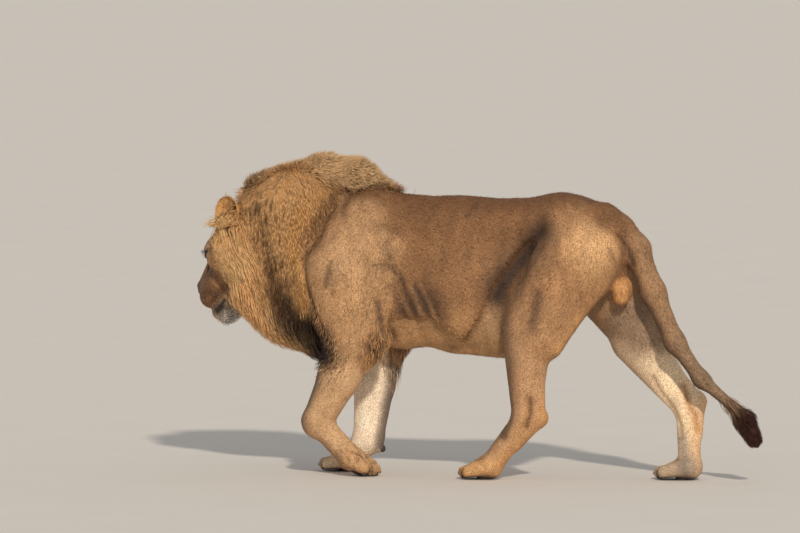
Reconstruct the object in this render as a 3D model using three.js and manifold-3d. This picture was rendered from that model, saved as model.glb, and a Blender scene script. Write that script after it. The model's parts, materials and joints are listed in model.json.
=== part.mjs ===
// A life-size walking male lion, as a museum model: each part of the body is one solid.
// Millimetres, +Z up, the floor at Z = 0. The lion walks towards -X, and its left side is at -Y.
// The origin lies on the floor, under the middle of the model's box.
//
// Every solid is grown in the same way. Its flesh is a few muscles, each a tapered round rod
// between two points, blended into one smooth body. A capsule inside that body has its
// vertices slid outwards until they meet the surface. The trunk and the tops of the legs are
// joined into one carcass, and then parted with thin cuts. A leg is one flesh, grown in lengths
// that are cut straight across at its joints. The other parts are cut from their neighbours.

import * as THREE from "three";
import { mergeVertices } from "three/addons/utils/BufferGeometryUtils.js";
import Module from "manifold-3d";

const wasm = await Module();
wasm.setup();

// ---- Driving dimensions -------------------------------------------------------------------

const BACK_HEIGHT = 1064; // the top of the back, halfway along
const HEAD_SIZE = 1.12; // the scale of the measures on the head, given for a smaller lion
const BODY_COAT = 8; // depth of the short coat over the skin
const LEAN_COAT = 4; // it is shorter on the face and the tail
const SEAM = 0.8; // clear gap between neighbouring solids

const LEFT = -1;
const RIGHT = 1;
const ACROSS = new THREE.Vector3(0, 1, 0);

const at = (x, y, z) => new THREE.Vector3(x, y, z);
const between = (a, b, share) => a.clone().lerp(b, share);
const shifted = (p, x, y, z) => p.clone().add(at(x, y, z));

// ---- Pose: where the joints are -------------------------------------------------------------

const SPINE = {
  withers: at(-440, 0, 1000),
  loin: at(-100, 0, BACK_HEIGHT - 112),
  croup: at(345, 0, BACK_HEIGHT - 108),
  tailRoot: at(560, 0, 915),
};

// The left foreleg is lifted to its toe tips at the end of a stride. The right one is planted.
const FORELEGS = {
  [LEFT]: {
    shoulder: at(-530, -135, 762),
    elbow: at(-434, -150, 500),
    wrist: at(-592, -118, 205),
    knuckle: at(-464, -102, 68),
    toe: at(-376, -98, 24),
  },
  [RIGHT]: {
    shoulder: at(-515, 135, 752),
    elbow: at(-434, 148, 488),
    wrist: at(-462, 112, 130),
    knuckle: at(-526, 102, 44),
    toe: at(-628, 100, 27),
  },
};

// The left hind leg is under the belly, and the right one pushes off behind.
const HIND_LEGS = {
  [LEFT]: {
    hip: at(447, -105, 876),
    knee: at(240, -152, 580),
    hock: at(246, -118, 248),
    heel: at(288, -116, 238),
    knuckle: at(92, -105, 50),
    toe: at(-4, -104, 27),
  },
  [RIGHT]: {
    hip: at(447, 105, 876),
    knee: at(582, 148, 526),
    hock: at(808, 108, 284),
    heel: at(846, 106, 300),
    knuckle: at(818, 102, 50),
    toe: at(706, 102, 27),
  },
};

// The tail hangs clear of the hocks and curls back a little towards its tuft.
const TAIL = [
  at(568, 0, 935),
  at(636, -5, 878),
  at(706, -12, 715),
  at(793, -18, 530),
  at(897, -20, 392),
  at(1010, -18, 300),
  at(1066, -16, 240),
  at(1104, -14, 166),
];
const TAIL_RADII = [62, 48, 42, 33, 25, 18];

// The head is carried low, turned a little to the lion's right.
const HEAD_AT = at(-844, 20, 922);
const HEAD_DOWN = THREE.MathUtils.degToRad(38);
const HEAD_TURN = THREE.MathUtils.degToRad(24);
const headPose = new THREE.Matrix4()
  .makeRotationZ(-HEAD_TURN)
  .multiply(new THREE.Matrix4().makeRotationY(-HEAD_DOWN))
  .multiply(new THREE.Matrix4().makeRotationZ(Math.PI));
const HEAD_SIDE = at(0, 1, 0).transformDirection(headPose);

// A point given forward of the skull's base, to the lion's left, and up.
const onHead = (forward, left, up) =>
  at(forward, left, up).multiplyScalar(HEAD_SIZE).applyMatrix4(headPose).add(HEAD_AT);
const onCheek = (side, forward, out, up) => onHead(forward, -side * out, up);

// ---- Flesh: muscles, and how they blend -------------------------------------------------------

// A tapered rod from one point to another. `flat` is its width along `side` over its radius.
const muscle = (from, fromRadius, to, toRadius, flat = 1, side = ACROSS) => ({
  from,
  fromRadius,
  along: to.clone().sub(from),
  toRadius,
  flat,
  side,
});

const bone = (from, fromRadius, to, toRadius, flat = 1) =>
  muscle(from, fromRadius * HEAD_SIZE, to, toRadius * HEAD_SIZE, flat, HEAD_SIDE);

// How far a point is outside one muscle. It is negative inside.
function outside(m, p) {
  const arm = p.clone().sub(m.from);
  const share = THREE.MathUtils.clamp(arm.dot(m.along) / (m.along.lengthSq() || 1), 0, 1);
  const out = arm.addScaledVector(m.along, -share);
  const plain = out.length();
  out.addScaledVector(m.side, out.dot(m.side) * (1 / m.flat - 1));
  const stretched = out.length() || 1e-9;
  const radius = THREE.MathUtils.lerp(m.fromRadius, m.toRadius, share);
  return (stretched - radius) * Math.min(1, plain / stretched || 1);
}

// The smooth union of several bodies, rounded where they meet by about `blend`.
function blended(bodies, blend) {
  return (p) =>
    bodies.reduce((near, body) => {
      const d = body(p);
      const mix = Math.max(blend - Math.abs(near - d), 0) / blend;
      return Math.min(near, d) - (mix * mix * blend) / 4;
    }, Infinity);
}

const fleshOf = (muscles, blend) => blended(muscles.map((m) => (p) => outside(m, p)), blend);

// ---- Solids ---------------------------------------------------------------------------------

function solidOf(geometry) {
  const bare = geometry.clone();
  for (const name of ["normal", "uv"]) bare.deleteAttribute(name);
  const merged = mergeVertices(bare, 1e-3);
  return new wasm.Manifold(
    new wasm.Mesh({
      numProp: 3,
      vertProperties: merged.attributes.position.array,
      triVerts: new Uint32Array(merged.index.array),
    }),
  );
}

// The mesh of a solid. A cut may leave crumbs beside it, and only the main body is kept.
function geometryOf(solid) {
  const { vertProperties, triVerts, numVert } = solid.getMesh();
  const leader = [...Array(numVert).keys()];
  const leaderOf = (vertex) => {
    while (leader[vertex] !== vertex) vertex = leader[vertex];
    return vertex;
  };
  for (let i = 0; i < triVerts.length; i += 3) {
    const first = leaderOf(triVerts[i]);
    leader[leaderOf(triVerts[i + 1])] = first;
    leader[leaderOf(triVerts[i + 2])] = first;
  }
  const bodies = new Map();
  for (let i = 0; i < triVerts.length; i += 3) {
    const body = leaderOf(triVerts[i]);
    if (!bodies.has(body)) bodies.set(body, []);
    bodies.get(body).push(...triVerts.slice(i, i + 3));
  }
  const geometry = new THREE.BufferGeometry();
  geometry.setAttribute("position", new THREE.BufferAttribute(vertProperties, 3));
  geometry.setIndex([...bodies.values()].reduce((a, b) => (b.length > a.length ? b : a)));
  return geometry;
}

const LONGEST_REACH = 900;
const MOST_STEPS = 80;
const NEAR_ENOUGH = 0.02;

// Slides a point outwards from inside the flesh until it is `proud` of the surface.
function slideOut(from, way, flesh, proud) {
  let reach = 0;
  for (let step = 0; step < MOST_STEPS && reach < LONGEST_REACH; step++) {
    const left = proud - flesh(from.clone().addScaledVector(way, reach));
    if (left < NEAR_ENOUGH) break;
    reach += left * 0.9;
  }
  return from.clone().addScaledVector(way, reach);
}

// A closed skin over the flesh, from a capsule whose core runs from one point to another.
function wrap({ core, sides, rings, caps, flesh }, proud) {
  const [from, to] = core;
  const axis = to.clone().sub(from);
  const half = axis.length() / 2;
  const capsule = new THREE.CapsuleGeometry(1, 2 * half, caps, sides, rings);
  const turn = new THREE.Quaternion().setFromUnitVectors(at(0, 1, 0), axis.clone().normalize());
  const place = capsule.attributes.position;
  for (let i = 0; i < place.count; i++) {
    const vertex = new THREE.Vector3().fromBufferAttribute(place, i);
    const height = THREE.MathUtils.clamp(vertex.y, -half, half);
    const way = vertex.clone().setY(vertex.y - height).normalize().applyQuaternion(turn);
    const foot = between(from, to, (height + half) / (2 * half));
    place.setXYZ(i, ...slideOut(foot, way, flesh, proud).toArray());
  }
  return solidOf(capsule);
}

// A part is its solid, and the slightly larger cutter that its neighbours are cut with.
const grow = (shape, coat) => ({ solid: wrap(shape, coat), cutter: wrap(shape, coat + SEAM) });

const cutBy = (part, ...others) => ({
  solid: others.reduce((rest, other) => rest.subtract(other.cutter), part.solid),
  cutter: part.cutter,
});

const joined = (...parts) =>
  parts.reduce((whole, part) => ({
    solid: whole.solid.add(part.solid),
    cutter: whole.cutter.add(part.cutter),
  }));

const onlyWithin = (part, room) => ({
  solid: part.solid.intersect(room.solid),
  cutter: part.cutter.intersect(room.cutter),
});

const HUGE = 3000;

// All that lies beyond a plane through `point`, on the side that `way` points to.
function beyond(point, way) {
  const turn = new THREE.Quaternion().setFromUnitVectors(at(0, 0, 1), way.clone().normalize());
  const block = (near) =>
    solidOf(
      new THREE.BoxGeometry(HUGE, HUGE, HUGE)
        .translate(0, 0, HUGE / 2 + near)
        .applyQuaternion(turn)
        .translate(...point.toArray()),
    );
  return { solid: block(SEAM / 2), cutter: block(-SEAM / 2) };
}

// The way a limb runs on through a joint, from the point before it to the point after it.
const wayThrough = ([previous, joint, next]) =>
  joint.clone().sub(previous).normalize().add(next.clone().sub(joint).normalize());

// What comes before a joint, or after it, with one straight cut between them.
const before = (part, joints) =>
  onlyWithin(part, beyond(joints[1], wayThrough(joints).negate()));
const after = (part, joints) => onlyWithin(part, beyond(joints[1], wayThrough(joints)));

const aboveFloor = (part) => onlyWithin(part, beyond(at(0, 0, -SEAM / 2), at(0, 0, 1)));

// ---- Trunk ----------------------------------------------------------------------------------

const TRUNK = [
  muscle(at(-350, 0, 792), 262, at(-70, 0, 772), 276, 0.6), // ribs
  muscle(at(-40, 0, 705), 232, at(110, 0, 695), 232, 0.7), // belly
  muscle(at(110, 0, 710), 226, at(330, 0, 800), 160, 0.66), // flanks
  muscle(SPINE.loin, 98, SPINE.croup, 112, 1.2),
  muscle(SPINE.croup, 112, at(480, 0, 915), 128, 1.1),
  muscle(at(510, 0, 920), 106, SPINE.tailRoot, 72),
  muscle(at(450, 0, 830), 96, at(540, 0, 800), 56, 0.7), // between the thighs
  muscle(SPINE.withers, 78, at(-240, 0, 975), 74, 0.95),
  muscle(at(-545, 0, 650), 115, at(-290, 0, 600), 116, 0.85), // breast
];
const SCROTUM = [
  muscle(at(556, 0, 780), 26, at(576, 0, 750), 26),
  ...[LEFT, RIGHT].map((side) => muscle(at(580, side * 20, 735), 35, at(582, side * 20, 697), 31)),
];

const trunk = grow({
  core: [at(-300, 0, 790), at(370, 0, 850)],
  sides: 20,
  rings: 7,
  caps: 3,
  flesh: fleshOf(TRUNK, 70),
}, BODY_COAT);

const scrotum = grow({
  core: [at(581, -8, 718), at(581, 8, 718)],
  sides: 8,
  rings: 1,
  caps: 3,
  flesh: fleshOf(SCROTUM, 12),
}, LEAN_COAT);

// ---- Muscles of the legs ------------------------------------------------------------------------

function shoulderMuscles(side, { shoulder, elbow }) {
  const blade = at(-410, side * 100, 985);
  const upperArm = at(-345, side * 150, 850);
  const breast = at(-560, side * 60, 700);
  return [
    muscle(blade, 76, shifted(shoulder, 15, side * 22, 20), 112, 0.6),
    muscle(upperArm, 104, shifted(elbow, 55, side * 4, 50), 66, 0.6),
    muscle(shifted(shoulder, 0, side * 14, 0), 108, shifted(elbow, -8, side * 4, 25), 88, 0.7),
    muscle(breast, 100, shifted(breast, 80, side * 45, -100), 84, 0.85),
    muscle(elbow, 66, shifted(elbow, 62, 0, 20), 42, 0.75),
  ];
}

function forearmMuscles({ elbow, wrist, knuckle }) {
  const belly = between(elbow, wrist, 0.42);
  return [
    muscle(elbow, 87, belly, 79, 0.76),
    muscle(belly, 79, wrist, 58, 0.84),
    muscle(wrist, 55, shifted(wrist, 0, 0, -10), 52, 1.02),
    muscle(wrist, 46, knuckle, 44, 1.08),
  ];
}

function thighMuscles(side, { hip, knee }) {
  const croup = at(390, side * 80, 965);
  const rump = at(512, side * 88, 850);
  const groin = at(450, side * 64, 790);
  return [
    muscle(croup, 96, shifted(hip, 0, side * 12, 0), 116, 0.8),
    muscle(shifted(hip, -40, side * 26, -60), 148, shifted(knee, 6, side * 4, 22), 92, 0.6),
    muscle(rump, 76, shifted(knee, 84, 0, -45), 76, 0.66),
    muscle(groin, 112, shifted(knee, 60, side * -12, 20), 84, 0.72),
  ];
}

function shankMuscles({ knee, hock, heel, knuckle }) {
  const calf = between(knee, hock, 0.5).add(at(22, 0, 4));
  return [
    muscle(shifted(knee, 0, 0, -8), 86, shifted(hock, -8, 0, 0), 54, 0.74),
    muscle(shifted(knee, 60, 0, -30), 72, calf, 52, 0.78),
    muscle(calf, 50, heel, 26, 0.62),
    muscle(hock, 50, heel, 30, 0.8),
    muscle(hock, 46, knuckle, 42, 0.96),
    muscle(heel, 30, between(heel, knuckle, 0.5), 32, 0.9),
  ];
}

const TOE_PLACES = [-1.5, -0.5, 0.5, 1.5]; // across the paw, in toes
const TOE_SPREAD = 31; // between the middle lines of neighbouring toes
const TOE_RADIUS = 24;
const OUTER_TOE_SET_BACK = 24;

function toeMuscles({ knuckle, toe }, width) {
  const way = toe.clone().sub(knuckle).normalize();
  const toes = TOE_PLACES.map((place) => {
    const setBack = (Math.abs(place) - 0.5) * OUTER_TOE_SET_BACK;
    const root = shifted(knuckle, 0, place * TOE_SPREAD * 0.8 * width, 0);
    const tip = shifted(toe, 0, place * TOE_SPREAD * width, 0).addScaledVector(way, -setBack);
    return muscle(root, 32, tip, TOE_RADIUS);
  });
  return [...toes, muscle(knuckle, 46, between(knuckle, toe, 0.2), 44, 1.15)];
}

// ---- Legs: each one flesh, grown in lengths -----------------------------------------------------

const JOINT_BLEND = 22;
const TOE_BLEND = 14;
const SHOULDER_INNER_FACE = 62; // from the middle plane
const THIGH_INNER_FACE = 20;

const rod = (from, to, sides, rings, flesh, coat = BODY_COAT) =>
  grow({ core: [from, to], sides, rings, caps: 2, flesh }, coat);

// The room that a leg's top fills: wide across the body, so that its edge cuts cleanly.
function topRoom(side, innerFace, core, rods) {
  const wide = rods.map(([from, fromRadius, to, toRadius]) =>
    muscle(from, fromRadius, to, toRadius, 3));
  const room = rod(...core, 10, 1, fleshOf(wide, JOINT_BLEND), 0);
  return onlyWithin(room, beyond(at(0, side * innerFace, 0), at(0, side, 0)));
}

function foreleg(side) {
  const leg = FORELEGS[side];
  const { shoulder, elbow, wrist, knuckle, toe } = leg;
  const flesh = blended([
    fleshOf(shoulderMuscles(side, leg), 45),
    fleshOf(forearmMuscles(leg), JOINT_BLEND),
    fleshOf(toeMuscles(leg, 1.08), TOE_BLEND),
  ], JOINT_BLEND);
  const atElbow = [shoulder, elbow, wrist];
  const atWrist = [elbow, wrist, knuckle];
  const blade = at(-400, side * 150, 900);
  const room = topRoom(side, SHOULDER_INNER_FACE, [blade, shifted(elbow, -10, 0, 20)], [
    [shifted(blade, 0, 0, 50), 100, shifted(shoulder, 10, 0, 0), 160],
    [shifted(shoulder, 10, 0, 0), 160, shifted(elbow, 0, 0, -60), 140],
    [shifted(blade, 40, 0, -40), 110, elbow, 120],
  ]);
  const palm = between(wrist, knuckle, 0.6);
  return {
    room,
    top: before(rod(blade, between(shoulder, elbow, 0.85), 14, 4, flesh), atElbow),
    forearm: before(after(rod(elbow, wrist, 10, 4, flesh), atElbow), atWrist),
    paw: aboveFloor(after(rod(palm, between(knuckle, toe, 0.7), 14, 2, flesh), atWrist)),
  };
}

function hindLeg(side) {
  const leg = HIND_LEGS[side];
  const { hip, knee, hock, knuckle, toe } = leg;
  const flesh = blended([
    fleshOf(thighMuscles(side, leg), 50),
    fleshOf(shankMuscles(leg), JOINT_BLEND),
    fleshOf(toeMuscles(leg, 1), TOE_BLEND),
  ], JOINT_BLEND);
  const instep = between(hock, knuckle, 0.7);
  const atKnee = [hip, knee, hock];
  const atHock = [knee, hock, knuckle];
  const atInstep = [hock, instep, knuckle];
  const room = topRoom(side, THIGH_INNER_FACE, [hip, shifted(knee, 20, 0, 20)], [
    [at(400, side * 100, 930), 120, shifted(knee, 30, 0, -30), 170],
    [at(520, side * 100, 850), 130, shifted(knee, 30, 0, -30), 170],
  ]);
  const ball = between(hock, knuckle, 0.85);
  return {
    room,
    top: before(rod(between(hip, knee, 0.05), between(hip, knee, 0.85), 14, 4, flesh), atKnee),
    shank: before(after(rod(knee, hock, 12, 4, flesh), atKnee), atHock),
    foot: before(after(rod(hock, instep, 10, 2, flesh), atHock), atInstep),
    paw: aboveFloor(after(rod(ball, between(knuckle, toe, 0.7), 14, 2, flesh), atInstep)),
  };
}

// ---- Head -------------------------------------------------------------------------------------

const HEAD = [
  bone(onHead(40, 0, 14), 94, onHead(165, 0, 8), 84), // skull
  bone(onHead(130, 0, 62), 52, onHead(200, 0, 60), 46, 1.35), // forehead
  bone(onHead(210, 0, 46), 44, onHead(332, 0, 10), 34, 1.02), // bridge of the nose
  bone(onHead(200, 0, -14), 60, onHead(318, 0, -24), 48, 1.05), // upper jaw
  ...[LEFT, RIGHT].flatMap((side) => [
    bone(onCheek(side, 186, 46, 80), 22, onCheek(side, 214, 54, 74), 17), // brow
    bone(onCheek(side, 85, 84, 4), 46, onCheek(side, 192, 70, 18), 36), // cheekbone
    bone(onCheek(side, 60, 60, 50), 50, onCheek(side, 36, 96, 72), 34), // root of the ear
    bone(onCheek(side, 70, 66, -46), 56, onCheek(side, 176, 50, -58), 40), // jowl
    bone(onCheek(side, 262, 36, -34), 42, onCheek(side, 326, 28, -46), 40), // whisker pad
  ]),
];
const JAW = [
  bone(onHead(110, 0, -74), 46, onHead(300, 0, -100), 43, 1.1),
  bone(onHead(290, 0, -100), 43, onHead(326, 0, -106), 39, 1.05),
];
const NOSE = [bone(onHead(348, 0, 16), 21, onHead(357, 0, 0), 20, 1.7)];

const head = grow({
  core: [onHead(60, 0, 8), onHead(290, 0, -8)],
  sides: 20,
  rings: 8,
  caps: 3,
  flesh: fleshOf(HEAD, 26),
}, LEAN_COAT);

const jaw = grow({
  core: [onHead(160, 0, -80), onHead(304, 0, -98)],
  sides: 12,
  rings: 3,
  caps: 3,
  flesh: fleshOf(JAW, 20),
}, LEAN_COAT);

const nose = grow({
  core: [onHead(348, 0, 15), onHead(356, 0, 3)],
  sides: 12,
  rings: 1,
  caps: 2,
  flesh: fleshOf(NOSE, 4),
}, 0);

const EYE_RADIUS = 20;

function eye(side) {
  const middle = onCheek(side, 219, 60, 58);
  const ball = (radius) =>
    solidOf(new THREE.SphereGeometry(radius, 10, 7).translate(...middle.toArray()));
  return { solid: ball(EYE_RADIUS), cutter: ball(EYE_RADIUS + SEAM) };
}

const EAR_RADIUS = 56;
const EAR_WALL = 9;
const EAR_SCOOP = 16; // how far towards the opening the hollow lies
const EAR_FLATNESS = 0.62;

// A round cup: a ball with a smaller ball scooped out of the side it listens to.
function ear(side) {
  const middle = onCheek(side, 20, 108, 90);
  const opening = onCheek(side, 20, 205, 108).sub(middle).normalize();
  const turn = new THREE.Quaternion().setFromUnitVectors(at(1, 0, 0), opening);
  const cup = (radius, push) =>
    solidOf(
      new THREE.SphereGeometry(radius, 11, 7)
        .scale(EAR_FLATNESS, 1, 1)
        .applyQuaternion(turn)
        .translate(...middle.clone().addScaledVector(opening, push).toArray()),
    );
  const shell = cup(EAR_RADIUS, 0);
  return {
    solid: shell.subtract(cup(EAR_RADIUS - EAR_WALL, EAR_SCOOP)),
    cutter: cup(EAR_RADIUS + SEAM, 0),
  };
}

// ---- Mane -------------------------------------------------------------------------------------

const COLLAR = [
  muscle(at(-700, 5, 1000), 185, at(-650, 0, 640), 160, 1.15),
  muscle(at(-838, 30, 990), 134, at(-842, 25, 800), 132, 1.05),
  muscle(at(-850, 12, 752), 126, at(-740, 0, 610), 130, 1.1),
  muscle(at(-905, 22, 680), 88, at(-800, 0, 632), 104),
];
const CREST = [
  muscle(at(-868, 24, 1070), 86, at(-600, 0, 1140), 88, 0.9),
  muscle(at(-600, 0, 1140), 88, at(-470, 0, 1120), 92, 0.9),
  muscle(at(-470, 0, 1120), 92, at(-335, 0, 1080), 38, 0.9),
];
const BIB = [
  muscle(at(-720, 0, 600), 120, at(-590, 0, 530), 96, 1.2),
  muscle(at(-590, 0, 530), 96, at(-500, 0, 520), 76, 1.3),
];
// The ruff frames the face: down both cheeks, and under the throat.
const RUFF = [
  bone(onHead(120, 0, -70), 100, onHead(170, 0, -112), 60, 1.3),
  ...[LEFT, RIGHT].flatMap((side) => [
    bone(onCheek(side, 60, 84, 60), 52, onCheek(side, 100, 96, -20), 56),
    bone(onCheek(side, 100, 96, -20), 56, onCheek(side, 150, 50, -120), 50),
  ]),
];

const collar = grow({
  core: [at(-740, 5, 980), at(-740, 5, 720)],
  sides: 18,
  rings: 3,
  caps: 3,
  flesh: fleshOf(COLLAR, 60),
}, 0);

const crest = grow({
  core: [at(-800, 10, 1100), at(-420, 0, 1100)],
  sides: 12,
  rings: 6,
  caps: 3,
  flesh: fleshOf(CREST, 40),
}, 0);

const bib = grow({
  core: [at(-660, 0, 620), at(-540, 0, 540)],
  sides: 14,
  rings: 2,
  caps: 3,
  flesh: fleshOf(BIB, 50),
}, 0);

const ruff = grow({
  core: [onHead(90, 0, 0), onHead(140, 0, -60)],
  sides: 16,
  rings: 1,
  caps: 3,
  flesh: fleshOf(RUFF, 30),
}, 0);

// ---- Tail -------------------------------------------------------------------------------------

const tailFlesh = fleshOf(
  TAIL_RADII.slice(1).map((radius, i) => muscle(TAIL[i], TAIL_RADII[i], TAIL[i + 1], radius)), 20);
const atJoint = (i) => [TAIL[i - 1], TAIL[i], TAIL[i + 1]];

const tailRoot = before(rod(TAIL[0], TAIL[2], 10, 4, tailFlesh, LEAN_COAT), atJoint(2));
const tailMiddle = before(
  after(rod(TAIL[2], TAIL[4], 8, 3, tailFlesh, LEAN_COAT), atJoint(2)), atJoint(4));
const tailEnd = after(rod(TAIL[4], TAIL[5], 8, 2, tailFlesh, LEAN_COAT), atJoint(4));

const tuft = grow({
  core: [TAIL[5], TAIL[7]],
  sides: 10,
  rings: 4,
  caps: 3,
  flesh: fleshOf([
    muscle(TAIL[5], 18, TAIL[6], 42),
    muscle(TAIL[6], 42, TAIL[7], 36),
    muscle(TAIL[7], 34, shifted(TAIL[7], 8, 0, -18), 12),
  ], 20),
}, 0);

// ---- Assembly ---------------------------------------------------------------------------------

const COAT = { colour: 0xb98d5c, roughness: 0.85 };
const MANE = { colour: 0x6b4a2c, roughness: 0.9 };
const TUFT = { colour: 0x2a1812, roughness: 0.9 };
const EYE = { colour: 0x8a5a1c, roughness: 0.15 };
const NOSE_LEATHER = { colour: 0x2c2220, roughness: 0.55 };

const lion = new THREE.Group();

function add(name, part, { colour, roughness }) {
  const material = new THREE.MeshStandardMaterial({ color: colour, roughness, metalness: 0 });
  const mesh = new THREE.Mesh(geometryOf(part.solid), material);
  mesh.name = name;
  lion.add(mesh);
}

const legs = [["left", LEFT], ["right", RIGHT]].map(([word, side]) => ({
  word,
  fore: foreleg(side),
  hind: hindLeg(side),
}));
const legTops = legs.flatMap(({ fore, hind }) => [fore.top, hind.top]);
const forearms = legs.map(({ fore }) => fore.forearm);
const shanks = legs.map(({ hind }) => hind.shank);
const carcass = cutBy(joined(trunk, ...legTops), collar, ...shanks);

for (const { word, fore, hind } of legs) {
  add(`fore_${word}_shoulder`, onlyWithin(carcass, fore.room), COAT);
  add(`fore_${word}_forearm`, fore.forearm, COAT);
  add(`fore_${word}_paw`, fore.paw, COAT);
  add(`hind_${word}_thigh`, onlyWithin(carcass, hind.room), COAT);
  add(`hind_${word}_shank`, hind.shank, COAT);
  add(`hind_${word}_foot`, hind.foot, COAT);
  add(`hind_${word}_paw`, hind.paw, COAT);
}
add("trunk", cutBy(carcass, ...legs.flatMap(({ fore, hind }) => [fore.room, hind.room])), COAT);
add("scrotum", cutBy(scrotum, carcass), COAT);
add("tail_root", cutBy(tailRoot, carcass), COAT);
add("tail_middle", tailMiddle, COAT);
add("tail_end", cutBy(tailEnd, tuft), COAT);
add("tail_tuft", tuft, TUFT);

const eyes = [eye(LEFT), eye(RIGHT)];
const ears = [ear(LEFT), ear(RIGHT)];
add("head", cutBy(head, ...eyes, ...ears, nose, collar), COAT);
add("jaw", cutBy(jaw, head, collar), COAT);
add("nose", nose, NOSE_LEATHER);
add("eye_left", eyes[0], EYE);
add("eye_right", eyes[1], EYE);
add("ear_left", ears[0], COAT);
add("ear_right", ears[1], COAT);

add("mane_neck", cutBy(collar, ...ears), MANE);
add("mane_ruff", cutBy(ruff, collar, head, jaw, ...ears), MANE);
add("mane_crest", cutBy(crest, collar, carcass, head), MANE);
add("mane_chest", cutBy(bib, collar, carcass, ruff, ...forearms), MANE);

const middle = new THREE.Box3().setFromObject(lion).getCenter(new THREE.Vector3());
lion.position.set(-middle.x, -middle.y, 0);

export default lion;
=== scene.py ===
# %% [markdown]
# # A walking male lion
# This lesson dresses a plain model of a lion. The frame holds its parts as simple closed solids that
# reach out to the tips of the coat. Here they get one skin, eyes, and a coat of solid hair. We load
# the frame. The finished lion has to stay inside it. Two other ways would be to sculpt by hand,
# which can't be repeated, or to scan a real animal, which we don't have.

# %% Load the frame
import json
import math

import bmesh
import bpy
import numpy as np
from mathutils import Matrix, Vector
from mathutils.bvhtree import BVHTree

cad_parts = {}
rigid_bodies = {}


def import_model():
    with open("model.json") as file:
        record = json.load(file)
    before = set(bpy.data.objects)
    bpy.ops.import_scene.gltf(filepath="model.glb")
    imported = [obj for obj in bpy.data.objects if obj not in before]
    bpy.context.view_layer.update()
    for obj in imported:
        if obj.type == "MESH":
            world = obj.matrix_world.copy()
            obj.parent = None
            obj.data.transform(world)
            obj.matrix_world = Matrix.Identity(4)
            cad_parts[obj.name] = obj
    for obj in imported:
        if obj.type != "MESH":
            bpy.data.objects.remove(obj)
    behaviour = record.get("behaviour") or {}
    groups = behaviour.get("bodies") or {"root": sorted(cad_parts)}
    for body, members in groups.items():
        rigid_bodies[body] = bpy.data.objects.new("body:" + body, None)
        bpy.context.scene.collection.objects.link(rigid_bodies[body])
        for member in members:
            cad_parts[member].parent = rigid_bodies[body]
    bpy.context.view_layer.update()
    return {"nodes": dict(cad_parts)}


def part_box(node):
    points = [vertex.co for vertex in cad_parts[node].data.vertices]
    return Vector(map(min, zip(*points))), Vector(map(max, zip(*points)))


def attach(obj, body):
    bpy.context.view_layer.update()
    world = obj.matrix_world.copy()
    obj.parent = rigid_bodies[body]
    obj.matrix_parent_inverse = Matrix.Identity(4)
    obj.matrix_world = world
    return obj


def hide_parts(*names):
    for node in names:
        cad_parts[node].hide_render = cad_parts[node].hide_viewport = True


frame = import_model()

MM = 0.001
LEFT, RIGHT = -1, 1
rng = np.random.default_rng(11)

# %% [markdown]
# ## The head's own axes
# The head is carried low and turned to the lion's right, so measures on the face are easiest in axes
# of its own: forward along the muzzle, left, and up. The left eye is a ball, and the middle of its
# box is the eye's middle. That one point tells where the lion stands in the frame.

# %% Head axes and places
HEAD_SIZE = 1.12
HEAD_DOWN, HEAD_TURN = math.radians(38), math.radians(24)
FORWARD = np.array([
    -math.cos(HEAD_DOWN) * math.cos(HEAD_TURN),
    math.cos(HEAD_DOWN) * math.sin(HEAD_TURN),
    -math.sin(HEAD_DOWN),
])
LEFTWARD = np.array([-math.sin(HEAD_TURN), -math.cos(HEAD_TURN), 0.0])
UPWARD = np.cross(FORWARD, LEFTWARD)
EYE_PLACE = (219, 60, 58)
EYE_RADIUS = 20 * MM


def unit(way):
    return way / np.linalg.norm(way)


def units(ways):
    """Each row made one long, except those that are nothing."""
    return ways / np.maximum(np.linalg.norm(ways, axis=1), 1e-9)[:, None]


def head_way(forward, left, up):
    return (FORWARD * forward + LEFTWARD * left + UPWARD * up) * HEAD_SIZE * MM


def middle(node):
    return np.array(sum(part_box(node), Vector()) / 2)


HEAD_AT = middle("eye_left") - head_way(*EYE_PLACE)
ORIGIN = HEAD_AT - np.array([-844, 20, 922]) * MM


def at(x, y, z):
    """A place on the body, in millimetres from the point that the pose is measured from."""
    return ORIGIN + np.array([x, y, z]) * MM


def on_head(forward, left, up):
    return HEAD_AT + head_way(forward, left, up)


def on_cheek(side, forward, out, up):
    return on_head(forward, -side * out, up)


def in_head(points):
    """Points as forward, left and up on the head, in its millimetres."""
    return (points - HEAD_AT) @ np.array([FORWARD, LEFTWARD, UPWARD]).T / (HEAD_SIZE * MM)


print("origin:", ORIGIN.round(4), "nose tip:", on_head(370, 0, 10).round(3))

# %% [markdown]
# ## The camera
# A long lens flattens the lion as it would be seen from far off, nearly side on, from a little
# behind its left shoulder. The camera comes first, so that every later step can be looked at.

# %% Camera
CAMERA_AZIMUTH, CAMERA_ELEVATION = math.radians(18), math.radians(3.5)
CAMERA_LENS, SENSOR_WIDTH = 400, 36
VIEW_WIDTH = 3.04
CAMERA_DISTANCE = VIEW_WIDTH * CAMERA_LENS / SENSOR_WIDTH


def in_scene(name, data):
    """A new object of the scene, at the origin."""
    piece = bpy.data.objects.new(name, data)
    bpy.context.scene.collection.objects.link(piece)
    return piece


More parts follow.
